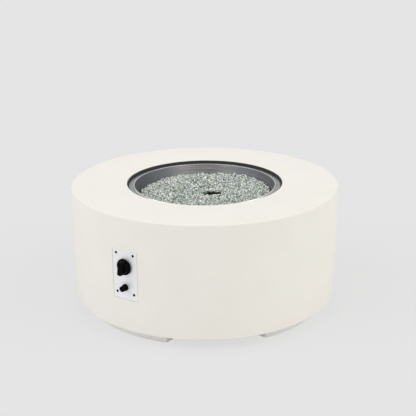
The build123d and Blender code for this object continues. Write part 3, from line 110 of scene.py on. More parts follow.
def seen_directly(tree):
    """One where a camera, glossy or transmission ray arrives, and zero for diffuse light."""
    path = add_node(tree, "ShaderNodeLightPath").outputs
    first = calculate(tree, "MAXIMUM", path["Is Camera Ray"], path["Is Glossy Ray"])
    return calculate(tree, "MAXIMUM", first, path["Is Transmission Ray"])


def mix_shaders(tree, share, first, second):
    """Two shaders, mixed by a share."""
    return flow(tree, "ShaderNodeMixShader", {0: share, 1: first, 2: second})


world = bpy.data.worlds.new("studio")
world.use_nodes = True
air = world.node_tree
air.nodes.clear()
room_light = flow(air, "ShaderNodeBackground", {"Color": ROOM_WHITE, "Strength": ROOM_LIGHT})
room_seen = flow(air, "ShaderNodeBackground", {"Color": ROOM_GREY, "Strength": 1.0})
room_mix = mix_shaders(air, seen_directly(air), room_light, room_seen)
add_node(air, "ShaderNodeOutputWorld", {"Surface": room_mix})
scene.world = world

# Floor: a wide pale sheet. Most of what the eye sees of it is the room's own grey, and the rest
# takes the light, so that the table's soft shadow stays on it. From below it lets the eye through.
FLOOR_HALF = 40.0
FLOOR_SINK = 0.0003
FLOOR_COLOUR = (0.87, 0.87, 0.87)
FLOOR_SEEN = (0.756, 0.756, 0.756)
FLOOR_PLAIN_SHARE = 0.86
SQUARE = ((-1, -1), (1, -1), (1, 1), (-1, 1))


def show(piece_name, mesh):
    """Put a mesh in the scene as an object at the origin."""
    piece = bpy.data.objects.new(piece_name, mesh)
    scene.collection.objects.link(piece)
    return piece


floor_mesh = bpy.data.meshes.new("floor")
floor_corners = [(x * FLOOR_HALF, y * FLOOR_HALF, -FLOOR_SINK) for x, y in SQUARE]
floor_mesh.from_pydata(floor_corners, [], [(0, 1, 2, 3)])
floor = show("floor", floor_mesh)
floor_paint = bpy.data.materials.new("pale_floor")
floor_paint.use_nodes = True
paint = floor_paint.node_tree
paint.nodes.clear()
floor_lit = flow(paint, "ShaderNodeBsdfDiffuse", {"Color": FLOOR_COLOUR})
floor_plain = flow(paint, "ShaderNodeEmission", {"Color": FLOOR_SEEN, "Strength": 1.0})
floor_share = calculate(paint, "MULTIPLY", seen_directly(paint), FLOOR_PLAIN_SHARE)
floor_above = mix_shaders(paint, floor_share, floor_lit, floor_plain)
floor_side = add_node(paint, "ShaderNodeNewGeometry").outputs["Backfacing"]
floor_below = flow(paint, "ShaderNodeBsdfTransparent")
floor_mix = mix_shaders(paint, floor_side, floor_above, floor_below)
add_node(paint, "ShaderNodeOutputMaterial", {"Surface": floor_mix})
floor_mesh.materials.append(floor_paint)

# Lamps: two very wide soft lamps, one on each side above the front, as bright as each other.
# The left one is a little cooler and the right one a little warmer.
LAMP_POWER = 1.05
LAMP_SPREAD = math.radians(50.0)
LAMP_HEIGHT = math.radians(43.0)
for lamp_name, lamp_azimuth, lamp_colour in (
    ("left_lamp", -78.0, (0.96, 1.0, 1.03)),
    ("right_lamp", 68.0, (1.02, 1.0, 0.99)),
):
    lamp = bpy.data.objects.new(lamp_name, bpy.data.lights.new(lamp_name, "SUN"))
    scene.collection.objects.link(lamp)
    lamp.data.energy = LAMP_POWER
    lamp.data.angle = LAMP_SPREAD
    lamp.data.color = lamp_colour
    aside = Matrix.Rotation(math.radians(lamp_azimuth), 4, "Z")
    lamp.matrix_world = aside @ Matrix.Rotation(RIGHT_ANGLE - LAMP_HEIGHT, 4, "X")

# Drum shell: one thin-walled casting of off-white fibre concrete, with its top slab, rebated fire
# opening and inward base flange in one piece. It is smooth from the mould, with a few pinholes
# whose darker colour is painted shade, and sealed with a clear matt coat.
DRUM_WALL = 0.020
TOP_SLAB = 0.030
BASE_FLANGE = 0.022
BASE_REACH = 0.1334
TOP_EDGE_RADIUS = 0.004
MOUTH_EDGE_RADIUS = 0.002
LOW_EDGE_RADIUS = 0.0015
INNER_CORNER = 0.016
OPENING_RADIUS = 0.3128
THROAT_RADIUS = 0.295
REBATE_DEPTH = 0.0155
DRUM_SEGMENTS = 384
# The pinholes are sunk by the bump and darkened with painted shade.
PINHOLE_PAINTED_SHADE = (0.62, 0.60, 0.55)
PINHOLE_SCALE = 40.0
PINHOLE_SHARE = 0.18
PINHOLE_SIZE = (0.012, 0.022)
BOLT_BORE_RADIUS = 0.0055
COLLAR_BORE_RADIUS = 0.00195
COLLAR_BORE_DEPTH = 0.014
INSERT_BORE_RADIUS = 0.00405
SMALL_BORE_SEGMENTS = 24
CUT_MARGIN = 0.001
SHARP_ANGLE = math.radians(28.0)
SAME_SPOT = 1e-6
SEAM_GAP = 1e-7
LEVEL = Matrix.Identity(4)
PATCH_NOISE = (5.0, 0.55)
PATCH_SPREAD = (0.35, 0.65)
GRAIN_NOISE = (3.0, 0.6)
GRAIN_SPREAD = (0.3, 0.7)


def mesh_from(name, edited, smooth=True):
    """Turn an edited mesh into a finished one, closed, facing outwards, sharp at its real edges."""
    bmesh.ops.remove_doubles(edited, verts=edited.verts, dist=SEAM_GAP)
    bmesh.ops.recalc_face_normals(edited, faces=edited.faces)
    for face in edited.faces:
        face.smooth = smooth
    for edge in edited.edges:
        if len(edge.link_faces) == 2:
            edge.smooth = edge.calc_face_angle(0.0) < SHARP_ANGLE
    mesh = bpy.data.meshes.new(name)
    edited.to_mesh(mesh)
    edited.free()
    return mesh


def rounded_outline(*corners, steps=6):
    """A closed outline through corners of (x, y, radius), each rounded by its own radius."""
    outline = []
    for index, (x, y, radius) in enumerate(corners):
        if radius == 0:
            outline.append((x, y))
            continue
        here = Vector((x, y))
        before = (Vector(corners[index - 1][:2]) - here).normalized()
        after = (Vector(corners[(index + 1) % len(corners)][:2]) - here).normalized()
        half = before.angle(after) / 2
        centre = here + (before + after).normalized() * radius / math.sin(half)
        start = here + before * radius / math.tan(half) - centre
        end = here + after * radius / math.tan(half) - centre
        first = math.atan2(start.y, start.x)
        sweep = (math.atan2(end.y, end.x) - first + math.pi) % (2 * math.pi) - math.pi
        for step in range(steps + 1):
            angle = first + sweep * step / steps
            x_out = centre.x + radius * math.cos(angle)
            outline.append((x_out, centre.y + radius * math.sin(angle)))
    return outline


def circle_outline(radius, segments, x=0.0, y=0.0):
    """The points of a circle."""
    outline = []
    for step in range(segments):
        angle = 2 * math.pi * step / segments
        outline.append((x + radius * math.cos(angle), y + radius * math.sin(angle)))
    return outline


def raise_loop(edited, outline, height, place):
    """The corners of an outline at a height, in a place."""
    return [edited.verts.new(place @ Vector((x, y, height))) for x, y in outline]


def revolve(name, profile, segments, place=LEVEL):
    """A solid of revolution about Z from a closed profile of (radius, height) points."""
    edited = bmesh.new()
    rings = []
    for radius, height in profile:
        if radius < SAME_SPOT:
            rings.append(raise_loop(edited, [(0.0, 0.0)], height, place) * segments)
        else:
            rings.append(raise_loop(edited, circle_outline(radius, segments), height, place))
    for near, far in zip(rings, rings[1:] + rings[:1]):
        for step in range(segments):
            after = (step + 1) % segments
            corners = []
            for corner in (near[step], near[after], far[after], far[step]):
                if corner not in corners:
                    corners.append(corner)
            if len(corners) > 2:
                edited.faces.new(corners)
    return mesh_from(name, edited)


def skin(edited, loops, capped):
    """Faces from each loop of corners to the next, and over the two ends."""
    for low, high in zip(loops, loops[1:]):
        for index in range(len(low)):
            after = (index + 1) % len(low)
            edited.faces.new((low[index], low[after], high[after], high[index]))
    if capped:
        edited.faces.new(loops[0])
        edited.faces.new(loops[-1])


def loft(name, rings, place=LEVEL, through=False):
    """A closed solid through rings of (outline, height), with caps, or with a hole through it."""
    edited = bmesh.new()
    loops = [raise_loop(edited, outline, height, place) for outline, height in rings]
    skin(edited, loops + loops[:1] if through else loops, not through)
    return mesh_from(name, edited)


def bore(spot, steps, segments=32, place=LEVEL):
    """A round tool along Z to cut with, through steps of (radius, height)."""
    rings = [(circle_outline(radius, segments, spot[0], spot[1]), z) for radius, z in steps]
    return loft("bore", rings, place)


def join(name, meshes):
    """Several meshes as one."""
    edited = bmesh.new()
    for mesh in meshes:
        edited.from_mesh(mesh)
        bpy.data.meshes.remove(mesh)
    joined = bpy.data.meshes.new(name)
    edited.to_mesh(joined)
    edited.free()
    return joined


def evaluated_mesh(piece):
    """The mesh that a piece has once its modifiers are done."""
    bpy.context.view_layer.update()
    evaluated = piece.evaluated_get(bpy.context.evaluated_depsgraph_get())
    return bpy.data.meshes.new_from_object(evaluated)


def combine(name, mesh, tool, operation="DIFFERENCE"):
    """Cut one closed mesh out of another, or unite the two."""
    piece = show(name, mesh)
    helper = show(name + "_tool", tool)
    step = piece.modifiers.new("combine", "BOOLEAN")
    step.operation = operation
    step.solver = "EXACT"
    step.object = helper
    combined = evaluated_mesh(piece)
    bpy.data.objects.remove(piece)
    bpy.data.objects.remove(helper)
    edited = bmesh.new()
    edited.from_mesh(combined)
    bpy.data.meshes.remove(combined)
    return mesh_from(name, edited)


def corners_of(points):
    """The lowest and highest corners of the box round some points."""
    low = Vector([min(point[axis] for point in points) for axis in range(3)])
    high = Vector([max(point[axis] for point in points) for axis in range(3)])
    return low, high


def solids_of(node, place=LEVEL):
    """The lowest and highest corners of each separate solid of a node, in a frame of its own."""
    edited = bmesh.new()
    edited.from_mesh(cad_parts[node].data)
    bmesh.ops.transform(edited, matrix=place.inverted(), verts=edited.verts)
    bmesh.ops.remove_doubles(edited, verts=edited.verts, dist=SAME_SPOT)
    waiting = set(edited.verts)
    boxes = []
    while waiting:
        reached = [waiting.pop()]
        solid = []
        while reached:
            corner = reached.pop()
            solid.append(corner.co.copy())
            for edge in corner.link_edges:
                following = edge.other_vert(corner)
                if following in waiting:
                    waiting.remove(following)
                    reached.append(following)
        boxes.append(corners_of(solid))
    edited.free()
    return sorted(boxes, key=lambda box: [round(value, 4) for value in box[0]])


def seats_of(node, rise=0.0, place=LEVEL):
    """The middle of each solid of a node, at a height above its foot."""
    boxes = solids_of(node, place)
    return [((low.x + high.x) / 2, (low.y + high.y) / 2, low.z + rise) for low, high in boxes]


def new_tree(name, kind, inputs, outputs):
    """A node tree with named sockets, listed by their sort, and what its inputs give."""
    tree = bpy.data.node_groups.new(name, kind)
    for way, sorts in (("INPUT", inputs), ("OUTPUT", outputs)):
        for sort, names in sorts.items():
            for socket in names:
                tree.interface.new_socket(socket, in_out=way, socket_type="NodeSocket" + sort)
    return tree, add_node(tree, "NodeGroupInput").outputs


def clouds(tree, vector, scale, detail, roughness):
    """Cloudy noise."""
    given = {"Vector": vector, "Scale": scale, "Detail": detail, "Roughness": roughness}
    return flow(tree, "ShaderNodeTexNoise", given)


def map_range(tree, value, start, end, low=0.0, high=1.0):
    """A number carried from one range to another."""
    given = {"Value": value, "From Min": start, "From Max": end, "To Min": low, "To Max": high}
    return flow(tree, "ShaderNodeMapRange", given)


def mix_colours(tree, share, first, second, way="MIX"):
    """Two colours, mixed by a share."""
    given = {0: share, 6: first, 7: second}
    mixed = add_node(tree, "ShaderNodeMix", given, data_type="RGBA", blend_type=way)
    return mixed.outputs[2]


def make_grain_group():
    """Patches of a second colour, a fine grain, and a roughness and a height that follow them."""
    numbers = ("Patch Scale", "Grain Scale", "Grain Share", "Least Roughness", "Most Roughness")
    inputs = {"Vector": ["Vector"], "Color": ["Colour", "Patch Colour"], "Float": numbers}
    outputs = {"Color": ["Colour"], "Float": ["Roughness", "Height"]}
    tree, given = new_tree("surface_grain", "ShaderNodeTree", inputs, outputs)
    patches = clouds(tree, given["Vector"], given["Patch Scale"], *PATCH_NOISE)
    grain = clouds(tree, given["Vector"], given["Grain Scale"], *GRAIN_NOISE)
    spread = map_range(tree, patches, *PATCH_SPREAD)
    shares = {"Factor": given["Grain Share"], "A": spread, "B": grain}
    mixed = flow(tree, "ShaderNodeMix", shares, data_type="FLOAT")
    least, most = given["Least Roughness"], given["Most Roughness"]
    results = {
        "Colour": mix_colours(tree, mixed, given["Colour"], given["Patch Colour"]),
        "Roughness": map_range(tree, grain, *GRAIN_SPREAD, least, most),
        "Height": grain,
    }
    add_node(tree, "NodeGroupOutput", results)
    return tree


grain_group = make_grain_group()


def grained(name, colour, shade, grain, rough, bump, stretch=(1, 1, 1), **constants):
    """A finish from the grain group. Grain holds the patches' scale, its own and its share."""
    material = bpy.data.materials.new(name)
    material.use_nodes = True
    tree = material.node_tree
    shader = tree.nodes["Principled BSDF"].inputs
    place = add_node(tree, "ShaderNodeTexCoord").outputs["Object"]
    given = {
        "Vector": flow(tree, "ShaderNodeMapping", {"Vector": place, "Scale": stretch}),
        "Colour": colour,
        "Patch Colour": shade,
        "Patch Scale": grain[0],
        "Grain Scale": grain[1],
        "Grain Share": grain[2],
        "Least Roughness": rough[0],
        "Most Roughness": rough[1],
    }
    result = add_node(tree, "ShaderNodeGroup", given, node_tree=grain_group).outputs
    relief = {"Height": result["Height"], "Strength": 1.0, "Distance": bump}
    tree.links.new(result["Colour"], shader["Base Color"])
    tree.links.new(result["Roughness"], shader["Roughness"])
    tree.links.new(flow(tree, "ShaderNodeBump", relief), shader["Normal"])
    for key, value in constants.items():
        shader[key.replace("_", " ")].default_value = value
    return material


def fit(name, mesh, material, slot, *nodes, body="table"):
    """Show a made mesh in its finish, let it ride on its body and stand for its nodes."""
    mesh.materials.clear()
    mesh.materials.append(material)
    piece = show(name, mesh)
    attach(piece, body)
    if nodes:
        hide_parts(*nodes)
    return piece


drum_low, drum_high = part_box("drum_shell")
drum_r = drum_high.x
top_z = drum_high.z
base_z = drum_low.z
inner_r = drum_r - DRUM_WALL
slab_z = top_z - TOP_SLAB
ledge_z = top_z - REBATE_DEPTH
flange_top_z = base_z + BASE_FLANGE
base_r = drum_r - BASE_REACH
drum_profile = rounded_outline(
    (base_r, base_z, LOW_EDGE_RADIUS),
    (drum_r, base_z, LOW_EDGE_RADIUS),
    (drum_r, top_z, TOP_EDGE_RADIUS),
    (OPENING_RADIUS, top_z, MOUTH_EDGE_RADIUS),
    (OPENING_RADIUS, ledge_z, 0),
    (THROAT_RADIUS, ledge_z, 0),
    (THROAT_RADIUS, slab_z, 0),
    (inner_r - INNER_CORNER, slab_z, 0),
    (inner_r, slab_z - INNER_CORNER, 0),
    (inner_r, flange_top_z, 0),
    (base_r, flange_top_z, LOW_EDGE_RADIUS),
)

# The panel's own frame: x runs across it, y up, and z out from the drum's axis. The plate lies in
# a flat pocket of the wall, over a window for the valve.
PANEL_TURN = math.radians(-38.3)
POCKET_SIDE_GAP = 0.0025
POCKET_END_GAP = 0.0008
POCKET_CORNER = 0.0005
WINDOW_HALF_WIDTH = 0.030
WINDOW_HALF_HEIGHT = 0.070
WINDOW_CORNER = 0.010
panel_cos = math.cos(PANEL_TURN)
panel_sin = math.sin(PANEL_TURN)
panel_place = Matrix(
    ((panel_cos, 0, panel_sin, 0), (panel_sin, 0, -panel_cos, 0), (0, 1, 0, 0), (0, 0, 0, 1))
)


def panel_box(node):
    """The lowest and highest corners of a node in the panel's own frame."""
    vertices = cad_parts[node].data.vertices
    return corners_of([panel_place.inverted() @ vertex.co for vertex in vertices])


def rectangle(half_x, half_y, centre_y, corner, steps=6):
    """A rounded rectangle centred on x = 0."""
    corners = [(x * half_x, centre_y + y * half_y, corner) for x, y in SQUARE]
    return rounded_outline(*corners, steps=steps)


plate_low, plate_high = panel_box("control_panel")
screws_low, screws_high = panel_box("panel_screws")
plate_middle = (plate_low.y + plate_high.y) / 2
plate_half_height = plate_high.y - plate_middle
pocket_half_width = plate_high.x + POCKET_SIDE_GAP
pocket_half_height = plate_half_height + POCKET_END_GAP
pocket = rectangle(pocket_half_width, pocket_half_height, plate_middle, POCKET_CORNER, 2)
window_middle = (screws_low.y + screws_high.y) / 2
window = rectangle(WINDOW_HALF_WIDTH, WINDOW_HALF_HEIGHT, window_middle, WINDOW_CORNER)
window_back = plate_low.z - 2 * DRUM_WALL
bolt_bore = [(BOLT_BORE_RADIUS, base_z - CUT_MARGIN), (BOLT_BORE_RADIUS, flange_top_z + CUT_MARGIN)]
bores = [bore(seat, bolt_bore) for seat in seats_of("foot_bolts")]
collar_bore = [
    (COLLAR_BORE_RADIUS, ledge_z - COLLAR_BORE_DEPTH),
    (COLLAR_BORE_RADIUS, ledge_z + CUT_MARGIN),
]
bores += [bore(seat, collar_bore, SMALL_BORE_SEGMENTS) for seat in seats_of("collar_screws")]
for seat in seats_of("panel_inserts", 0.0, panel_place):
    steps = [(INSERT_BORE_RADIUS, seat[2]), (INSERT_BORE_RADIUS, plate_low.z + CUT_MARGIN)]
    bores.append(bore(seat, steps, place=panel_place))
drum_mesh = revolve("drum_shell_cast", drum_profile, DRUM_SEGMENTS)
for tool in (
    loft("pocket", [(pocket, plate_low.z), (pocket, drum_r + DRUM_WALL)], panel_place),
    loft("window", [(window, window_back), (window, drum_r)], panel_place),
    join("bores", bores),
):
    drum_mesh = combine("drum_shell_cast", drum_mesh, tool)
concrete = grained(
    "cast_concrete", (0.842, 0.815, 0.752), (0.820, 0.792, 0.730),
    grain=(9, 520, 0.35), rough=(0.62, 0.82), bump=0.00025,
)
cast = concrete.node_tree
cast_grain = cast.nodes["Group"].outputs
spot = cast.nodes["Texture Coordinate"].outputs["Object"]
pinholes = add_node(cast, "ShaderNodeTexVoronoi", {"Vector": spot, "Scale": PINHOLE_SCALE}).outputs
pinhole_kept = calculate(cast, "LESS_THAN", pinholes["Color"], PINHOLE_SHARE)
pinhole = map_range(cast, pinholes["Distance"], *PINHOLE_SIZE, pinhole_kept, 0.0)
# The pinholes' darker colour is painted shade inside them.
cast_colour = mix_colours(cast, pinhole, cast_grain["Colour"], PINHOLE_PAINTED_SHADE)
cast_height = calculate(cast, "SUBTRACT", cast_grain["Height"], pinhole)
cast.links.new(cast_colour, cast.nodes["Principled BSDF"].inputs["Base Color"])
cast.links.new(cast_height, cast.nodes["Bump"].inputs["Height"])
fit("drum_shell_cast", drum_mesh, concrete, "concrete", "drum_shell")

# Feet: four cast blocks of the same concrete, each with a round front, parallel sides and a
# straight back, bolted up into the drum's base flange. Their colour is painted lighter than the
# drum's, as painted light against the shade under the drum's overhang.
FOOT_RADIUS = 0.490
FOOT_DEPTH = 0.105
FOOT_HALF_WIDTH = 0.190
FOOT_BEVEL = 0.002
FOOT_ARC_STEPS = 40
FOOT_FIRST_TURN = -45
COUNTERBORE_RADIUS = 0.0135
COUNTERBORE_DEPTH = 0.013
# The feet's concrete is painted lighter than the drum's: painted light against the shade under the
# overhang.
foot_concrete_painted_light = grained(
    "foot_concrete_painted_light", (0.930, 0.920, 0.880), (0.890, 0.878, 0.835),
    grain=(14, 520, 0.4), rough=(0.70, 0.88), bump=0.0004,
)


def foot_outline(inset):
    """The foot's plan, seen along its own radial line, drawn in by an inset."""
    half = FOOT_HALF_WIDTH - inset
    radius = FOOT_RADIUS - inset
    back = FOOT_RADIUS - FOOT_DEPTH + inset
    reach = math.asin(half / radius)
    outline = [(-half, back), (half, back)]
    for step in range(FOOT_ARC_STEPS + 1):
        angle = reach - 2 * reach * step / FOOT_ARC_STEPS
        outline.append((radius * math.sin(angle), radius * math.cos(angle)))
    return outline


for turn, foot_name in enumerate(("front_left", "front_right", "back_right", "back_left")):
    foot_low, foot_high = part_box("foot_" + foot_name)
    foot_rings = [
        (foot_outline(FOOT_BEVEL), foot_low.z),
        (foot_outline(0.0), foot_low.z + FOOT_BEVEL),
        (foot_outline(0.0), foot_high.z),
    ]
    azimuth = math.radians(FOOT_FIRST_TURN + 90 * turn)
    foot_place = Matrix.Rotation(azimuth + math.pi, 4, "Z")
    bolt_hole = [
        (COUNTERBORE_RADIUS, -CUT_MARGIN),
        (COUNTERBORE_RADIUS, COUNTERBORE_DEPTH),
        (BOLT_BORE_RADIUS, COUNTERBORE_DEPTH),
        (BOLT_BORE_RADIUS, foot_high.z + CUT_MARGIN),
    ]
    bolt_holes = join("bolt_holes", [bore(seat, bolt_hole) for seat in seats_of("foot_bolts")])
    foot_mesh = combine("foot", loft("foot_block", foot_rings, foot_place), bolt_holes)
    fit("foot_block_" + foot_name, foot_mesh, foot_concrete_painted_light, "foot", "foot_" + foot_name)

# Foot bolts, washers and nuts: zinc-plated hexagon bolts from below, hidden in counterbores, with
# a washer at each end and a nut on the flange.
zinc = grained(
    "zinc_plate", (0.62, 0.63, 0.66), (0.50, 0.51, 0.54),
    grain=(160, 900, 0.4), rough=(0.30, 0.45), bump=0.00005, Metallic=1.0,
)
BOLT_HALF_FLATS = 0.0085
BOLT_HEAD_HEIGHT = 0.0064
BOLT_RADIUS = 0.005
BOLT_EDGE = 0.0008
WASHER_RADIUS = 0.0105
WASHER_EDGE = 0.0003
NUT_HEIGHT = 0.008
ROUND_POINTS = 36
HEXAGON_TURN = math.pi / 3
FASTENER_SEED = 5


def grow(source, tree, values):
    """Run a Geometry Nodes tree on a mesh and keep the result as a plain mesh."""
    holder = show("source", source)
    modifier = holder.modifiers.new("grow", "NODES")
    modifier.node_group = tree
    for item in tree.interface.items_tree:
        if item.item_type == "SOCKET" and item.in_out == "INPUT" and item.name in values:
            modifier[item.identifier] = values[item.name]
    grown = evaluated_mesh(holder)
    bpy.data.objects.remove(holder)
    return grown


def draw_vector(tree, seed, most):
    """A random turn for each element."""
    given = {0: (0.0, 0.0, 0.0), 1: most, "Seed": seed}
    return flow(tree, "FunctionNodeRandomValue", given, data_type="FLOAT_VECTOR")


def end_tree(tree, geometry, finish):
    """Give a tree's result its finish and hand it out."""
    finished = flow(tree, "GeometryNodeSetMaterial", {"Geometry": geometry, "Material": finish})
    add_node(tree, "NodeGroupOutput", {"Result": finished})
    return tree


def make_fastener_tree():
    """Set one fastener on every point of a mesh, all leant one way, each turned about its axis."""
    inputs = {
        "Geometry": ["Places"],
        "Object": ["Fastener"],
        "Vector": ["Lean"],
        "Float": ["Most Turn"],
        "Int": ["Seed"],
        "Material": ["Finish"],
    }
    tree, given = new_tree("set_fasteners", "GeometryNodeTree", inputs, {"Geometry": ["Result"]})
    pattern = add_node(tree, "GeometryNodeObjectInfo", {"Object": given["Fastener"]}).outputs
    lean = given["Lean"]
    settings = {"Points": given["Places"], "Instance": pattern["Geometry"], "Rotation": lean}
    placed = flow(tree, "GeometryNodeInstanceOnPoints", settings)
    most_turn = flow(tree, "ShaderNodeCombineXYZ", {"Z": given["Most Turn"]})
    turn = draw_vector(tree, given["Seed"], most_turn)
    settings = {"Instances": placed, "Rotation": turn, "Local Space": True}
    turned = flow(tree, "GeometryNodeRotateInstances", settings)
    real = flow(tree, "GeometryNodeRealizeInstances", {"Geometry": turned})
    return end_tree(tree, real, given["Finish"])


fastener_tree = make_fastener_tree()


def set_fasteners(node, pattern_mesh, finish, slot, rise=0.0, most_turn=0.0, place=LEVEL):
    """Set one fastener in every seat of its node, as a single piece that stands for the node."""
    places = bpy.data.meshes.new("places")
    seats = [tuple(place @ Vector(seat)) for seat in seats_of(node, rise, place)]
    places.from_pydata(seats, [], [])
    pattern = show("pattern", pattern_mesh)
    values = {
        "Fastener": pattern,
        "Lean": tuple(place.to_euler()),
        "Most Turn": most_turn,
        "Seed": FASTENER_SEED,
        "Finish": finish,
    }
    fastener_mesh = grow(places, fastener_tree, values)
    bpy.data.objects.remove(pattern)
    fit(node[:-1] + "_set", fastener_mesh, finish, slot, node)


def round_ring(radius, height):
    """A circle of the points that all fasteners' rings have."""
    return (circle_outline(radius, ROUND_POINTS), height)


def hexagon_ring(half_flats, height):
    """A hexagon with a corner on X, of the points that all fasteners' rings have."""
    outline = []
    for step in range(ROUND_POINTS):
        angle = 2 * math.pi * step / ROUND_POINTS
        radius = half_flats / math.cos(angle % HEXAGON_TURN - HEXAGON_TURN / 2)
        outline.append((radius * math.cos(angle), radius * math.sin(angle)))
    return (outline, height)


bolt_low, bolt_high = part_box("foot_bolts")
bolt_length = bolt_high.z - bolt_low.z
bolt_rings = [
    round_ring(BOLT_HALF_FLATS, 0.0),
    hexagon_ring(BOLT_HALF_FLATS, BOLT_EDGE),
    hexagon_ring(BOLT_HALF_FLATS, BOLT_HEAD_HEIGHT),
    round_ring(BOLT_RADIUS, BOLT_HEAD_HEIGHT),
    round_ring(BOLT_RADIUS, bolt_length - BOLT_EDGE),
    round_ring(BOLT_RADIUS - BOLT_EDGE, bolt_length),
]
washer_low, washer_high = solids_of("foot_washers")[0]
washer_height = washer_high.z - washer_low.z
washer_rings = [
    round_ring(BOLT_BORE_RADIUS, 0.0),
    round_ring(WASHER_RADIUS - WASHER_EDGE, 0.0),
    round_ring(WASHER_RADIUS, WASHER_EDGE),
    round_ring(WASHER_RADIUS, washer_height - WASHER_EDGE),
    round_ring(WASHER_RADIUS - WASHER_EDGE, washer_height),
    round_ring(BOLT_BORE_RADIUS, washer_height),
]
nut_rings = [
    round_ring(BOLT_RADIUS, 0.0),
    round_ring(BOLT_HALF_FLATS, 0.0),
    hexagon_ring(BOLT_HALF_FLATS, BOLT_EDGE),
    hexagon_ring(BOLT_HALF_FLATS, NUT_HEIGHT - BOLT_EDGE),
    round_ring(BOLT_HALF_FLATS, NUT_HEIGHT),
    round_ring(BOLT_RADIUS, NUT_HEIGHT),
]
for node, rings, through in (
    ("foot_bolts", bolt_rings, False),
    ("foot_washers", washer_rings, True),
    ("foot_nuts", nut_rings, True),
):
    set_fasteners(node, loft(node, rings, LEVEL, through), zinc, "zinc_steel")

# Opening collar: an angle ring of black powder-coated steel that lines the rebate and carries the
# pan, held down by six countersunk screws.
COLLAR_SHEET = 0.002
COLLAR_EDGE = 0.0006
COLLAR_LEDGE_EDGE = 0.0003
COLLAR_LEDGE_RADIUS = 0.297
RING_SEGMENTS = 256
COLLAR_SCREW_RADIUS = 0.0019
COLLAR_HEAD_RADIUS = 0.0038
COLLAR_HEAD_HEIGHT = 0.0019
COLLAR_HOLE_GAP = 0.0003
SOCKET_HALF_FLATS = 0.00125
SOCKET_RIM_RADIUS = 0.0016
SOCKET_DEPTH = 0.0012
SOCKET_LIP = 0.0001
SHANK_EDGE = 0.0004


def set_screws(node, socket, head, shank, finish, slot, place=LEVEL):
    """Screws: a socket of (half flats, floor), a head from its top, a shank of (radius, length)."""
    half_flats, floor = socket
    radius, length = shank
    rings = [hexagon_ring(half_flats, floor), hexagon_ring(half_flats, head[0][1] - SOCKET_LIP)]
    rings += [round_ring(*step) for step in head]
    rings += [
        round_ring(radius, head[-1][1]),
        round_ring(radius, SHANK_EDGE - length),
        round_ring(radius - SHANK_EDGE, -length),
    ]
    set_fasteners(node, loft(node, rings), finish, slot, length, HEXAGON_TURN, place)


collar_low, collar_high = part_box("opening_collar")
collar_r = collar_high.x
collar_ledge_z = collar_low.z + COLLAR_SHEET
collar_profile = rounded_outline(
    (COLLAR_LEDGE_RADIUS, collar_low.z, COLLAR_LEDGE_EDGE),
    (collar_r, collar_low.z, COLLAR_EDGE),
    (collar_r, collar_high.z, COLLAR_EDGE),
    (collar_r - COLLAR_SHEET, collar_high.z, COLLAR_EDGE),
    (collar_r - COLLAR_SHEET, collar_ledge_z, COLLAR_EDGE),
    (COLLAR_LEDGE_RADIUS, collar_ledge_z, COLLAR_LEDGE_EDGE),
    steps=3,
)
black_coat = grained(
    "black_powder_coat", (0.018, 0.018, 0.020), (0.026, 0.026, 0.028),
    grain=(60, 1400, 0.5), rough=(0.42, 0.58), bump=0.00008,
)
countersink = [
    (COLLAR_SCREW_RADIUS + COLLAR_HOLE_GAP, collar_low.z - CUT_MARGIN),
    (COLLAR_SCREW_RADIUS + COLLAR_HOLE_GAP, collar_ledge_z - COLLAR_HEAD_HEIGHT),
    (COLLAR_HEAD_RADIUS + COLLAR_HOLE_GAP, collar_ledge_z),
    (COLLAR_HEAD_RADIUS + COLLAR_HOLE_GAP, collar_ledge_z + CUT_MARGIN),
]
countersinks = join("sinks", [bore(seat, countersink) for seat in seats_of("collar_screws")])
collar_mesh = revolve("opening_collar", collar_profile, RING_SEGMENTS)
collar_mesh = combine("opening_collar_ring", collar_mesh, countersinks)
fit("opening_collar_ring", collar_mesh, black_coat, "black_steel", "opening_collar")
collar_head = [
    (SOCKET_RIM_RADIUS, 0.0),
    (COLLAR_HEAD_RADIUS, 0.0),
    (COLLAR_SCREW_RADIUS, -COLLAR_HEAD_HEIGHT),
]
screw_low, screw_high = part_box("collar_screws")
collar_screw = (COLLAR_SCREW_RADIUS, screw_high.z - screw_low.z)
collar_socket = (SOCKET_HALF_FLATS, -SOCKET_DEPTH)
set_screws("collar_screws", collar_socket, collar_head, collar_screw, black_coat, "black_screw")

# Burner pan: spun stainless sheet with a flat floor, a sloped side and a raised bead round
# its mouth, which rests on the collar by its flange. The side's colour is a painted reflection,
# light at the back and dark at the flanks across the view, and the bead's crest a painted
# highlight.
PAN_SHEET = 0.0015
PAN_FLANGE_RADIUS = 0.305
PAN_FLANGE_EDGE = 0.0005
PAN_BEAD_RADIUS = 0.290
PAN_MOUTH_RADIUS = 0.2832
PAN_FLOOR_RADIUS = 0.249
PAN_FLOOR_CORNER = 0.008
PAN_BEAD_HEIGHT = 0.003
PAN_BEAD_SLOPE = 0.00225
PAN_MOUTH_EDGE = 0.0012
PAN_BEAD_EDGE = 0.0016
PAN_BEAD_FOOT = 0.001
BEAD_START_GAP = 0.0006
BEAD_END_GAP = 0.0008
PAN_DRAIN_RADIUS = 0.004
PAN_DRAIN_CIRCLE = 0.220
PAN_CAMERA_ACROSS = (0.996, -0.091, 0.0)
# Painted reflection on the pan's side: a colour ramp across the camera's view, in place of the
# steel's own colour.
PAN_PAINTED_REFLECTION = (
    (0.00, (0.13, 0.14, 0.15)),
    (0.18, (0.08, 0.09, 0.10)),
    (0.41, (0.34, 0.33, 0.31)),
    (0.63, (0.30, 0.29, 0.27)),
    (0.80, (0.12, 0.12, 0.12)),
    (1.00, (0.24, 0.24, 0.25)),
)


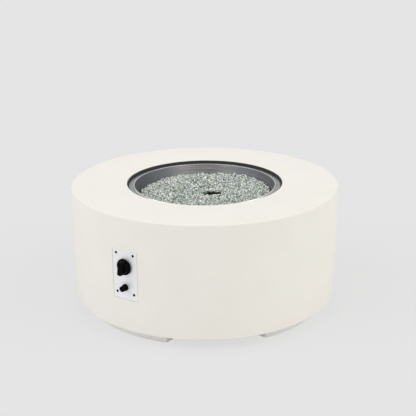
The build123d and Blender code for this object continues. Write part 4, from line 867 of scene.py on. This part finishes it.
def add_ramp(tree, share, rows, way="LINEAR"):
    """A colour that follows a share through rows of (position, colour)."""
    ramp = add_node(tree, "ShaderNodeValToRGB", {"Fac": share})
    ramp.color_ramp.interpolation = way
    elements = ramp.color_ramp.elements
    while len(elements) < len(rows):
        elements.new(0.5)
    for element, (position, colour) in zip(elements, rows):
        element.position = position
        element.color = (*colour, 1.0)
    return ramp.outputs[0]


pan_low, pan_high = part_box("burner_pan")
pan_under_z = pan_low.z
pan_floor_z = pan_under_z + PAN_SHEET
bead_z = pan_high.z
bead_under_z = bead_z - PAN_SHEET
flange_z = bead_z - PAN_BEAD_HEIGHT
pan_lean = (PAN_MOUTH_RADIUS - PAN_FLOOR_RADIUS) / (bead_z - pan_floor_z)
pan_wall = PAN_SHEET * (math.sqrt(1 + pan_lean**2) - pan_lean)
bead_inner_r = PAN_BEAD_RADIUS - PAN_SHEET / 2
pan_profile = rounded_outline(
    (0.0, pan_floor_z, 0),
    (PAN_FLOOR_RADIUS, pan_floor_z, PAN_FLOOR_CORNER),
    (PAN_MOUTH_RADIUS, bead_z, PAN_MOUTH_EDGE),
    (PAN_BEAD_RADIUS - PAN_BEAD_SLOPE, bead_z, PAN_BEAD_EDGE),
    (PAN_BEAD_RADIUS, flange_z, PAN_BEAD_FOOT),
    (PAN_FLANGE_RADIUS, flange_z, PAN_FLANGE_EDGE),
    (PAN_FLANGE_RADIUS, flange_z - PAN_SHEET, PAN_FLANGE_EDGE),
    (bead_inner_r, flange_z - PAN_SHEET, 0),
    (bead_inner_r - PAN_BEAD_SLOPE, bead_under_z, 0),
    (PAN_MOUTH_RADIUS + pan_wall, bead_under_z, 0),
    (PAN_FLOOR_RADIUS + pan_wall, pan_under_z, PAN_FLOOR_CORNER),
    (0.0, pan_under_z, 0),
)
drains = []
drain = [(PAN_DRAIN_RADIUS, pan_under_z - PAN_SHEET), (PAN_DRAIN_RADIUS, pan_floor_z + PAN_SHEET)]
for turn in range(4):
    angle = turn * RIGHT_ANGLE
    drain_seat = (PAN_DRAIN_CIRCLE * math.cos(angle), PAN_DRAIN_CIRCLE * math.sin(angle))
    drains.append(bore(drain_seat, drain, SMALL_BORE_SEGMENTS))
pan_mesh = revolve("burner_pan", pan_profile, RING_SEGMENTS)
pan_mesh = combine("burner_pan_spun", pan_mesh, join("drains", drains))
pan_steel = grained(
    "spun_steel", (0.130, 0.134, 0.148), (0.112, 0.115, 0.126),
    grain=(6, 60, 0.35), rough=(0.42, 0.54), bump=0.00004, stretch=(1.0, 1.0, 30.0), Metallic=1.0,
)
spun = pan_steel.node_tree
spot = spun.nodes["Texture Coordinate"].outputs["Object"]
for operation, settings in (
    ("MULTIPLY", {1: (1.0, 1.0, 0.0)}),
    ("NORMALIZE", {}),
    ("DOT_PRODUCT", {1: PAN_CAMERA_ACROSS}),
):
    side = add_node(spun, "ShaderNodeVectorMath", {0: spot, **settings}, operation=operation)
    spot = side.outputs[0]
# Where the side lies across the camera's view picks its painted reflection from the ramp.
pan_side = map_range(spun, side.outputs["Value"], -1.0, 1.0)
pan_painted_reflection = add_ramp(spun, pan_side, PAN_PAINTED_REFLECTION, "EASE")
spun.links.new(pan_painted_reflection, spun.nodes["Group"].inputs["Colour"])
# The bead's crest is a lighter copy of the pan's steel: a painted highlight.
bead_painted_highlight = grained(
    "painted_highlight_bead", (0.70, 0.70, 0.66), (0.50, 0.50, 0.48),
    grain=(12, 90, 0.4), rough=(0.22, 0.34), bump=0.00003, Metallic=1.0,
)
flange_steel = grained(
    "pan_flange", (0.40, 0.41, 0.44), (0.32, 0.33, 0.35),
    grain=(10, 90, 0.4), rough=(0.30, 0.42), bump=0.00003, Metallic=1.0,
)
fit("burner_pan_spun", pan_mesh, pan_steel, "stainless", "burner_pan")
pan_mesh.materials.append(bead_painted_highlight)
pan_mesh.materials.append(flange_steel)
# Faces on the bead's crest take the painted highlight, and the outer slope and flange their own
# steel.
for face in pan_mesh.polygons:
    face_r = math.hypot(face.center.x, face.center.y)
    if face_r > PAN_BEAD_RADIUS - BEAD_END_GAP:
        face.material_index = 2
    elif face_r > PAN_MOUTH_RADIUS - BEAD_START_GAP and face.center.z > bead_z - 2 * PAN_SHEET:
        face.material_index = 1

# Burner: two hollow rings welded to a cross channel, on bent straps, clamped by a locknut under
# the pan. All of it is stainless sheet, dulled by heat.
burner_steel = grained(
    "burner_steel", (0.42, 0.40, 0.38), (0.30, 0.27, 0.25),
    grain=(18, 700, 0.3), rough=(0.34, 0.52), bump=0.00006, Metallic=1.0,
)


def dress(material, slot, *nodes):
    """Give shapes that stay as they are their finish."""
    for name in nodes:
        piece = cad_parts[name]
        piece.data.materials.clear()
        piece.data.materials.append(material)


dress(burner_steel, "stainless", "burner_ring", "burner_standoffs")

# Ignition group: a folded sheet hood over a spark electrode and a thermocouple, both held in a
# strip on the pan's floor. The hood just breaks the surface of the glass.
dress(burner_steel, "stainless", "ignition_bracket", "electrode_rod")
# The hood's steel is much darker than the burner's steel.
hood_steel = grained(
    "darkened_hood_steel", (0.115, 0.108, 0.100), (0.060, 0.056, 0.052),
    grain=(60, 600, 0.35), rough=(0.45, 0.60), bump=0.00006, Metallic=1.0,
)
dress(hood_steel, "stainless", "ignition_hood")
HOOD_SOCKET = (SOCKET_HALF_FLATS, SOCKET_DEPTH)
HOOD_SCREW_SHANK = (0.002, 0.010)
HOOD_SCREW_HEAD = (
    (SOCKET_RIM_RADIUS, 0.0026),
    (0.0027, 0.0025),
    (0.0034, 0.0020),
    (0.00375, 0.0011),
    (0.00375, 0.0),
)
set_screws("hood_screws", HOOD_SOCKET, HOOD_SCREW_HEAD, HOOD_SCREW_SHANK, zinc, "zinc_steel")
ceramic = grained(
    "white_ceramic", (0.82, 0.81, 0.78), (0.74, 0.73, 0.70),
    grain=(80, 1200, 0.3), rough=(0.22, 0.34), bump=0.00003,
)
dress(ceramic, "ceramic", "electrode_ceramic")
copper = grained(
    "copper_probe", (0.72, 0.42, 0.30), (0.55, 0.30, 0.22),
    grain=(90, 900, 0.35), rough=(0.28, 0.42), bump=0.00004, Metallic=1.0,
)
dress(copper, "copper", "thermocouple", "thermocouple_lead")

# Glass: crushed clear glass, faintly green, heaped loosely over the burner. A bumpy bed fills the
# pan, and separate chips lie on it and on the hood, tumbled every way, up to the pan's side. The
# bed's dark olive is partly the glass's tint and partly painted shade between the chips, and each
# chip's facets carry painted sparkle.
GLASS_LEVEL = 0.4375
GLASS_WALL_GAP = 0.0016
SLUMP_START = 0.76
SLUMP_POWER = 1.5
HEAP_RINGS = 56
HEAP_SEGMENTS = 192
BED_OVERLAP = 0.02
BED_SINK = 0.01
RIPPLES = ((0.3, 30.0, 0.0022), (0.7, 85.0, 0.0016))
EDGE_LEVELS = (
    (0, 0.0045), (25, 0.0035), (42, 0.0050), (53, 0.0045), (63, -0.0025), (70, 0.0010),
    (78, -0.0065), (90, -0.0035), (102, -0.0065), (110, -0.0040), (119, -0.0075),
    (128, -0.0035), (140, -0.0115), (152, -0.0085), (166, -0.0040), (185, -0.0025),
    (270, -0.0030), (340, 0.0010), (360, 0.0045),
)
glass_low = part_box("glass_media")[0]
hood_low, hood_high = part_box("ignition_hood")


def pan_inside(height):
    """The pan's inner radius at a height."""
    return PAN_FLOOR_RADIUS + pan_lean * (height - pan_floor_z)


def edge_level(angle):
    """How far the heap's edge lies above or below its middle, at an angle round the pan."""
    degrees = math.degrees(angle) % 360
    for (first, low), (second, high) in zip(EDGE_LEVELS, EDGE_LEVELS[1:]):
        if degrees <= second:
            share = (degrees - first) / (second - first)
            share = share * share * (3 - 2 * share)
            return low + (high - low) * share
    return EDGE_LEVELS[-1][1]


def heap_point(share, angle, rough):
    """A point of the heap's surface, at a share of the way out from the middle."""
    edge = edge_level(angle)
    radius = (pan_inside(GLASS_LEVEL + edge) - GLASS_WALL_GAP) * share
    slump = max(0.0, (share - SLUMP_START) / (1 - SLUMP_START))
    x = radius * math.cos(angle)
    y = radius * math.sin(angle)
    ripple = 0.0
    for layer, scale, height in RIPPLES:
        ripple += noise.noise(Vector((x, y, layer)) * scale) * height
    return Vector((x, y, GLASS_LEVEL + edge * slump**SLUMP_POWER + ripple * rough))


def heap_surface(edited, rough):
    """The heap's upper surface, ring by ring, and its outermost ring."""
    middle = edited.verts.new((0.0, 0.0, GLASS_LEVEL))
    angles = [2 * math.pi * step / HEAP_SEGMENTS for step in range(HEAP_SEGMENTS)]
    rings = []
    for ring in range(1, HEAP_RINGS + 1):
        share = ring / HEAP_RINGS
        rings.append([edited.verts.new(heap_point(share, angle, rough)) for angle in angles])
    for step in range(HEAP_SEGMENTS):
        after = (step + 1) % HEAP_SEGMENTS
        edited.faces.new((middle, rings[0][step], rings[0][after]))
        for near, far in zip(rings, rings[1:]):
            edited.faces.new((near[step], far[step], far[after], near[after]))
    return rings[-1]


bed_edit = bmesh.new()
rim_loop = heap_surface(bed_edit, 1.0)
foot_loop = []
for rim_point in rim_loop:
    out = rim_point.co.xy.normalized() * (pan_inside(glass_low.z) + BED_OVERLAP)
    foot_loop.append(bed_edit.verts.new((out.x, out.y, glass_low.z - BED_SINK)))
skin(bed_edit, [rim_loop, foot_loop], False)
bed_edit.faces.new(foot_loop)
packed_edit = bmesh.new()
packed_edit.from_mesh(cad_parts["glass_media"].data)
packed_mesh = mesh_from("packed", packed_edit)
bed_mesh = combine("glass_bed", packed_mesh, mesh_from("heap", bed_edit), "INTERSECT")
# The bed's dark olive is partly the glass's tint and partly painted shade between the chips.
bed_glass_and_shade = grained(
    "packed_glass_and_shade", (0.150, 0.175, 0.135), (0.045, 0.056, 0.040),
    grain=(120, 300, 0.5), rough=(0.15, 0.35), bump=0.001,
)
fit("glass_bed", bed_mesh, bed_glass_and_shade, "fire_glass", "glass_media")
SHARD_CORNERS = 9
SHARD_REACH = (0.42, 0.55)
SHARD_WIDTH = (0.7, 1.0)
SHARD_HEIGHT = (0.55, 0.9)


def make_shards(count, seed):
    """Several angular shards of about unit size, each the hull of a few points."""
    random.seed(seed)
    shards = bpy.data.collections.new("glass_shards")
    for index in range(count):
        edited = bmesh.new()
        for _ in range(SHARD_CORNERS):
            way = Vector([random.uniform(-1, 1) for _ in range(3)]).normalized()
            tip = way * random.uniform(*SHARD_REACH)
            width = random.uniform(*SHARD_WIDTH)
            edited.verts.new((tip.x, tip.y * width, tip.z * random.uniform(*SHARD_HEIGHT)))
        hull = bmesh.ops.convex_hull(edited, input=edited.verts)
        bmesh.ops.delete(edited, geom=hull["geom_interior"], context="VERTS")
        mesh = mesh_from(f"shard_{index}", edited, smooth=False)
        shards.objects.link(bpy.data.objects.new(f"shard_{index}", mesh))
    return shards


def draw_number(tree, seed, least=0.0, most=1.0):
    """A random number for each element."""
    given = {2: least, 3: most, "Seed": seed}
    return add_node(tree, "FunctionNodeRandomValue", given, data_type="FLOAT").outputs[1]


def mark(tree, geometry, name, domain, seed):
    """Store a random tone on each element of a geometry."""
    given = {"Geometry": geometry, "Name": name, "Value": draw_number(tree, seed)}
    kind = "GeometryNodeStoreNamedAttribute"
    return flow(tree, kind, given, data_type="FLOAT", domain=domain)


def make_scatter_tree():
    """Scatter shards over a surface, each turned at random, with a tone for each and a painted
    sparkle tone for each facet.
    """
    inputs = {
        "Geometry": ["Surface"],
        "Collection": ["Shards"],
        "Float": ["Density", "Least Size", "Most Size", "Least Lift", "Most Lift"],
        "Int": ["Seed"],
        "Material": ["Finish"],
    }
    outputs = {"Geometry": ["Result"]}
    tree, given = new_tree("scattered_shards", "GeometryNodeTree", inputs, outputs)
    seed = given["Seed"]
    settings = {"Mesh": given["Surface"], "Density": given["Density"], "Seed": seed}
    points = flow(tree, "GeometryNodeDistributePointsOnFaces", settings)
    lift = draw_number(tree, seed, given["Least Lift"], given["Most Lift"])
    settings = {"Geometry": points, "Offset": flow(tree, "ShaderNodeCombineXYZ", {"Z": lift})}
    raised = flow(tree, "GeometryNodeSetPosition", settings)
    settings = {"Collection": given["Shards"], "Separate Children": True, "Reset Children": True}
    settings = {
        "Points": raised,
        "Instance": flow(tree, "GeometryNodeCollectionInfo", settings),
        "Pick Instance": True,
        "Rotation": draw_vector(tree, seed, (math.tau, math.tau, math.tau)),
        "Scale": draw_number(tree, seed, given["Least Size"], given["Most Size"]),
    }
    placed = flow(tree, "GeometryNodeInstanceOnPoints", settings)
    marked = mark(tree, placed, "chip_tone", "INSTANCE", seed)
    real = flow(tree, "GeometryNodeRealizeInstances", {"Geometry": marked})
    return end_tree(tree, mark(tree, real, "facet_tone", "FACE", seed), given["Finish"])


# Each facet's random tone, from dark to white, is painted sparkle and reflection on the opaque
# chips.
FACET_PAINTED_SPARKLE = (
    (0.00, (0.075, 0.090, 0.062)),
    (0.13, (0.19, 0.22, 0.17)),
    (0.38, (0.48, 0.515, 0.455)),
    (0.68, (0.76, 0.79, 0.75)),
    (0.86, (1.00, 1.00, 1.00)),
)
CHIP_STOPS = (
    (0.00, (0.52, 0.60, 0.47)),
    (0.25, (0.76, 0.82, 0.73)),
    (0.50, (0.88, 0.93, 0.88)),
    (0.70, (0.98, 1.00, 1.00)),
    (0.84, (0.86, 0.94, 1.00)),
    (0.96, (1.00, 0.98, 0.92)),
    (1.00, (0.95, 0.84, 0.62)),
)
clear_glass = bpy.data.materials.new("clear_glass")
clear_glass.use_nodes = True
glass = clear_glass.node_tree
tones = []
for attribute, stops in (("facet_tone", FACET_PAINTED_SPARKLE), ("chip_tone", CHIP_STOPS)):
    tone = add_node(glass, "ShaderNodeAttribute", attribute_name=attribute)
    tones.append(add_ramp(glass, tone.outputs["Fac"], stops))
glass_shader = glass.nodes["Principled BSDF"].inputs
glass.links.new(mix_colours(glass, 1.0, *tones, way="MULTIPLY"), glass_shader["Base Color"])
for name, value in (("Roughness", 0.08), ("IOR", 1.5), ("Specular IOR Level", 0.7)):
    glass_shader[name].default_value = value
CHIP_EDGE_SHARE = 0.978
HOOD_COVERS = (0.0010, 0.0030, 0.0045)
SLOT_REACH = 0.0065
SLOT_SIDE = 0.004
CRACK_START = Vector((0.004, -0.054))
CRACK_END = Vector((-0.014, -0.082))
CRACK_HALF_WIDTH = 0.0035


def chip_floor():
    """The surface that the chips lie on: the heap without the hood's mouth, and the hood's top."""
    edited = bmesh.new()
    heap_surface(edited, 0.0)
    along = CRACK_END - CRACK_START
    away = []
    for face in edited.faces:
        spot = face.calc_center_median()
        flat = spot.xy
        across = hood_low.x - SLOT_SIDE < spot.x < hood_high.x - SLOT_SIDE
        mouth = across and hood_low.y - SLOT_REACH < spot.y < hood_high.y
        share = max(0.0, min(1.0, (flat - CRACK_START).dot(along) / along.length_squared))
        crack = (flat - CRACK_START - along * share).length < CRACK_HALF_WIDTH
        edge = flat.length > CHIP_EDGE_SHARE * pan_inside(spot.z)
        if mouth or crack or edge:
            away.append(face)
    bmesh.ops.delete(edited, geom=away, context="FACES")
    left = hood_low.x + SLOT_SIDE
    right = hood_high.x - SLOT_SIDE / 2
    front = hood_low.y + 2 * SLOT_SIDE
    back = hood_high.y
    cover = ((left, front), (right, front), (right, back), (left, back))
    for rise in HOOD_COVERS:
        edited.faces.new(raise_loop(edited, cover, hood_high.z + rise, LEVEL))
    mesh = bpy.data.meshes.new("chip_floor")
    edited.to_mesh(mesh)
    edited.free()
    return mesh


scatter_tree = make_scatter_tree()
for chips_name, shard_count, density, least, most, lift, seed in (
    ("glass_chips", 8, 40000.0, 0.0070, 0.0120, 0.0050, 3),
    ("glass_chips_large", 5, 2200.0, 0.0120, 0.0170, 0.0055, 8),
):
    values = {
        "Shards": make_shards(shard_count, seed),
        "Density": density,
        "Least Size": least,
        "Most Size": most,
        "Least Lift": 0.0,
        "Most Lift": lift,
        "Seed": seed,
        "Finish": clear_glass,
    }
    chips_mesh = grow(chip_floor(), scatter_tree, values)
    fit(chips_name, chips_mesh, clear_glass, "fire_glass")

# Elbow, air mixer, jet and gas tube: brass fittings under the pan and a braided steel tube with a
# nut at each end, which runs to the valve.
brass = grained(
    "brass", (0.66, 0.52, 0.27), (0.55, 0.42, 0.22),
    grain=(70, 900, 0.35), rough=(0.26, 0.42), bump=0.00004, Metallic=1.0,
)
braid = grained(
    "braided_tube", (0.58, 0.58, 0.60), (0.24, 0.24, 0.25),
    grain=(420, 900, 0.5), rough=(0.30, 0.50), bump=0.0004, Metallic=1.0,
)
dress(brass, "brass", "burner_locknut", "burner_elbow", "air_mixer", "gas_jet", "hose_nuts")
dress(braid, "hose_braid", "burner_hose")

# Control panel: a flat plate of brushed stainless steel, held by four black button-head screws
# in threaded inserts cast into the wall.
PLATE_CORNER = 0.0015
PLATE_EDGE = 0.0004
KNOB_HEIGHT = 0.2955
IGNITER_HEIGHT = 0.2141
NECK_HOLE_RADIUS = 0.0093
IGNITER_HOLE_RADIUS = 0.0113
SCREW_HOLE_RADIUS = 0.00275
PLATE_HOLE_SEGMENTS = 48
PANEL_SCREW_SHANK = (0.0025, 0.012)
PANEL_SOCKET = (0.0015, 0.0014)
PANEL_SCREW_HEAD = (
    (0.0019, 0.0028),
    (0.0025, 0.00274),
    (0.0033, 0.0024),
    (0.0041, 0.0018),
    (0.0046, 0.0010),
    (0.00475, 0.0004),
    (0.00475, 0.0),
)


def plate_ring(inset, height):
    """The plate's outline at a height, drawn in by an inset."""
    half_width = plate_high.x - inset
    half_height = plate_half_height - inset
    return (rectangle(half_width, half_height, plate_middle, PLATE_CORNER - inset), height)


plate_rings = [
    plate_ring(0.0, plate_low.z),
    plate_ring(0.0, plate_high.z - PLATE_EDGE),
    plate_ring(PLATE_EDGE, plate_high.z),
]
plate_holes = [
    (NECK_HOLE_RADIUS, (0.0, KNOB_HEIGHT)),
    (IGNITER_HOLE_RADIUS, (0.0, IGNITER_HEIGHT)),
]
for seat in seats_of("panel_screws", 0.0, panel_place):
    plate_holes.append((SCREW_HOLE_RADIUS, seat))
plate_cuts = []
for radius, seat in plate_holes:
    steps = [(radius, plate_low.z - CUT_MARGIN), (radius, plate_high.z + CUT_MARGIN)]
    plate_cuts.append(bore(seat, steps, PLATE_HOLE_SEGMENTS, panel_place))
plate_mesh = loft("control_panel", plate_rings, panel_place)
plate_mesh = combine("control_panel_plate", plate_mesh, join("plate_cuts", plate_cuts))
brushed_plate = grained(
    "brushed_plate", (0.965, 0.965, 0.970), (0.915, 0.915, 0.925),
    grain=(2, 9, 0.6), rough=(0.42, 0.56), bump=0.00003, stretch=(160.0, 160.0, 4.0), Metallic=0.55,
)
fit("control_panel_plate", plate_mesh, brushed_plate, "brushed_plate", "control_panel")
black_screw = grained(
    "black_oxide", (0.0015, 0.0015, 0.0018), (0.0025, 0.0025, 0.0028),
    grain=(300, 1600, 0.5), rough=(0.42, 0.55), bump=0.00003, Specular_IOR_Level=0.0,
)
panel_screw = (PANEL_SOCKET, PANEL_SCREW_HEAD, PANEL_SCREW_SHANK)
set_screws("panel_screws", *panel_screw, black_screw, "black_screw", panel_place)
dress(brass, "brass", "panel_inserts")

# Gas valve: a brass body behind the panel, its inlet elbow, nut, safety plunger and stem, and a
# wound steel spring that the plunger presses together.
SPRING_TURNS = 6
SPRING_WIRE_RADIUS = 0.0005
SPRING_WIRE_SEGMENTS = 8
SPRING_STEPS = 24
SPRING_END_SHARE = 0.4


def coil_spring(node, height):
    """A wound spring in place of a node, at a height up the panel."""
    low, high = panel_box(node)
    place = panel_place @ Matrix.Translation((0.0, height, 0.0))
    radius = high.x - SPRING_WIRE_RADIUS
    length = high.z - low.z
    foot = low.z + SPRING_WIRE_RADIUS
    rise = length - 2 * SPRING_WIRE_RADIUS
    edited = bmesh.new()
    sections = []
    for step in range(SPRING_TURNS * SPRING_STEPS + 1):
        share = step / (SPRING_TURNS * SPRING_STEPS)
        turn = math.tau * SPRING_TURNS * share
        eased = share - SPRING_END_SHARE * math.sin(math.tau * share) / math.tau
        middle = foot + rise * eased
        section = []
        for x, z in circle_outline(SPRING_WIRE_RADIUS, SPRING_WIRE_SEGMENTS, radius, middle):
            point = Vector((x * math.cos(turn), x * math.sin(turn), z))
            section.append(edited.verts.new(place @ point))
        sections.append(section)
    skin(edited, sections, True)
    name = node + "_coil"
    spring = fit(name, mesh_from(name, edited), zinc, "spring_steel", node)
    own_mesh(spring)


dress(brass, "brass", "valve_body", "inlet_elbow", "valve_plunger", "valve_stem")
dress(black_screw, "black_screw", "valve_nut")
coil_spring("valve_spring", KNOB_HEIGHT)

# Knob: black moulded plastic with a round skirt and a grip bar right across, pushed on the stem.
# It is hollow underneath, with a flat-sided hole for the stem and a sunk mark on the bar.
knob_plastic = grained(
    "knob_plastic", (0.0018, 0.0018, 0.0024), (0.0032, 0.0032, 0.0040),
    grain=(140, 2400, 0.6), rough=(0.38, 0.55), bump=0.00005, Specular_IOR_Level=0.04,
)
KNOB_SKIRT_RADIUS = 0.031
KNOB_SKIRT = 0.0035
KNOB_BOSS_RADIUS = 0.025
KNOB_BOSS_TOP_RADIUS = 0.01987
KNOB_BOSS_TOP = 0.0145
KNOB_BAR_HALF_WIDTH = 0.010
KNOB_BAR_HALF_LENGTH = 0.027
KNOB_BAR_CORNER = 0.005
KNOB_BAR_DRAFT = math.tan(math.radians(3.0))
KNOB_EDGE = 0.0012
KNOB_FOOT_EDGE = 0.0004
KNOB_BOSS_FILLET = 0.0008
KNOB_EDGE_STEPS = 5
KNOB_TILT = math.radians(-6.0)
KNOB_SEGMENTS = 96
CAVITY_SEGMENTS = 64
STEM_HOLE_SEGMENTS = 48
KNOB_CAVITY_RADIUS = 0.017
KNOB_CAVITY_TOP_RADIUS = 0.01373
KNOB_CAVITY_DEPTH = 0.0122
STEM_HOLE_RADIUS = 0.00405
STEM_HOLE_FLAT = 0.00285
STEM_HOLE_DEPTH = 0.0242
MARK_HALF_WIDTH = 0.0008
MARK_HALF_LENGTH = 0.008
MARK_MIDDLE = 0.019
MARK_CORNER = 0.0003
MARK_DEPTH = 0.0006
knob_low, knob_high = panel_box("control_knob")
knob_tall = knob_high.z - knob_low.z
knob_place = panel_place @ Matrix.Translation((0.0, KNOB_HEIGHT, knob_low.z))
bar_place = knob_place @ Matrix.Rotation(KNOB_TILT, 4, "Z")
knob_profile = rounded_outline(
    (0.0, 0.0, 0),
    (KNOB_SKIRT_RADIUS, 0.0, KNOB_FOOT_EDGE),
    (KNOB_SKIRT_RADIUS, KNOB_SKIRT, KNOB_EDGE),
    (KNOB_BOSS_RADIUS, KNOB_SKIRT, KNOB_BOSS_FILLET),
    (KNOB_BOSS_TOP_RADIUS, KNOB_BOSS_TOP, KNOB_EDGE),
    (0.0, KNOB_BOSS_TOP, 0),
)


def bar_ring(inset, height):
    """The grip bar's outline at a height, drawn in by its draft and an inset."""
    inset += max(0.0, height - KNOB_SKIRT) * KNOB_BAR_DRAFT
    half_width = KNOB_BAR_HALF_WIDTH - inset
    half_length = KNOB_BAR_HALF_LENGTH - inset
    return (rectangle(half_width, half_length, 0.0, KNOB_BAR_CORNER - inset), height)


bar_rings = [bar_ring(0.0, KNOB_SKIRT / 2), bar_ring(0.0, KNOB_SKIRT)]
for step in range(KNOB_EDGE_STEPS + 1):
    angle = RIGHT_ANGLE * step / KNOB_EDGE_STEPS
    drop = KNOB_EDGE * (1 - math.sin(angle))
    bar_rings.append(bar_ring(KNOB_EDGE * (1 - math.cos(angle)), knob_tall - drop))
cavity = [
    (KNOB_CAVITY_RADIUS, -CUT_MARGIN),
    (KNOB_CAVITY_RADIUS, 0.0),
    (KNOB_CAVITY_TOP_RADIUS, KNOB_CAVITY_DEPTH),
]
stem_circle = circle_outline(STEM_HOLE_RADIUS, STEM_HOLE_SEGMENTS)
stem_hole = [(x, max(y, -STEM_HOLE_FLAT)) for x, y in stem_circle]
stem_rings = [(stem_hole, KNOB_CAVITY_DEPTH - CUT_MARGIN), (stem_hole, STEM_HOLE_DEPTH)]
mark_outline = rectangle(MARK_HALF_WIDTH, MARK_HALF_LENGTH, MARK_MIDDLE, MARK_CORNER, 2)
mark_rings = [(mark_outline, knob_tall - MARK_DEPTH), (mark_outline, knob_tall + CUT_MARGIN)]
knob_cuts = [loft("stem_hole", stem_rings, knob_place), loft("mark", mark_rings, bar_place)]
knob_mesh = revolve("knob_body", knob_profile, KNOB_SEGMENTS, knob_place)
for tool, operation in (
    (loft("knob_bar", bar_rings, bar_place), "UNION"),
    (bore((0.0, 0.0), cavity, CAVITY_SEGMENTS, knob_place), "DIFFERENCE"),
    (join("knob_cuts", knob_cuts), "DIFFERENCE"),
):
    knob_mesh = combine("knob", knob_mesh, tool, operation)
knob_name = "control_knob_moulded"
fit(knob_name, knob_mesh, knob_plastic, "knob_plastic", "control_knob", body="knob")

# Igniter: a black plastic housing with a round button, its locknut, a battery in its case and a
# wound contact spring that the button presses together.
BUTTON_RADIUS = 0.011
BUTTON_EDGE = 0.0022
BUTTON_BACK_EDGE = 0.0003
BUTTON_CAP = 0.0182
BUTTON_SEGMENTS = 64
SHANK_RADIUS = 0.00595
SHANK_COLLAR_RADIUS = 0.0071
SHANK_COLLAR = 0.002
button_low, button_high = panel_box("igniter_button")
button_back = button_high.z - BUTTON_CAP
collar_end = button_low.z + SHANK_COLLAR
button_profile = rounded_outline(
    (0.0, button_low.z, 0),
    (SHANK_COLLAR_RADIUS, button_low.z, 0),
    (SHANK_COLLAR_RADIUS, collar_end, 0),
    (SHANK_RADIUS, collar_end, 0),
    (SHANK_RADIUS, button_back, 0),
    (BUTTON_RADIUS, button_back, BUTTON_BACK_EDGE),
    (BUTTON_RADIUS, button_high.z, BUTTON_EDGE),
    (0.0, button_high.z, 0),
)
button_place = panel_place @ Matrix.Translation((0.0, IGNITER_HEIGHT, 0.0))
button_name = "igniter_button_cap"
button_mesh = revolve(button_name, button_profile, BUTTON_SEGMENTS, button_place)
fit(button_name, button_mesh, knob_plastic, "igniter_plastic", "igniter_button", body="button")
dress(knob_plastic, "igniter_plastic", "igniter_housing", "igniter_locknut")
battery_case = grained(
    "battery_case", (0.16, 0.20, 0.17), (0.12, 0.15, 0.13),
    grain=(50, 800, 0.3), rough=(0.30, 0.42), bump=0.00003,
)
dress(battery_case, "battery_case", "igniter_battery")
coil_spring("contact_spring", IGNITER_HEIGHT)
wire_sleeve = grained(
    "wire_sleeve", (0.055, 0.020, 0.016), (0.075, 0.030, 0.024),
    grain=(120, 900, 0.4), rough=(0.45, 0.60), bump=0.00005,
)
dress(wire_sleeve, "wire_sleeve", "igniter_wire")
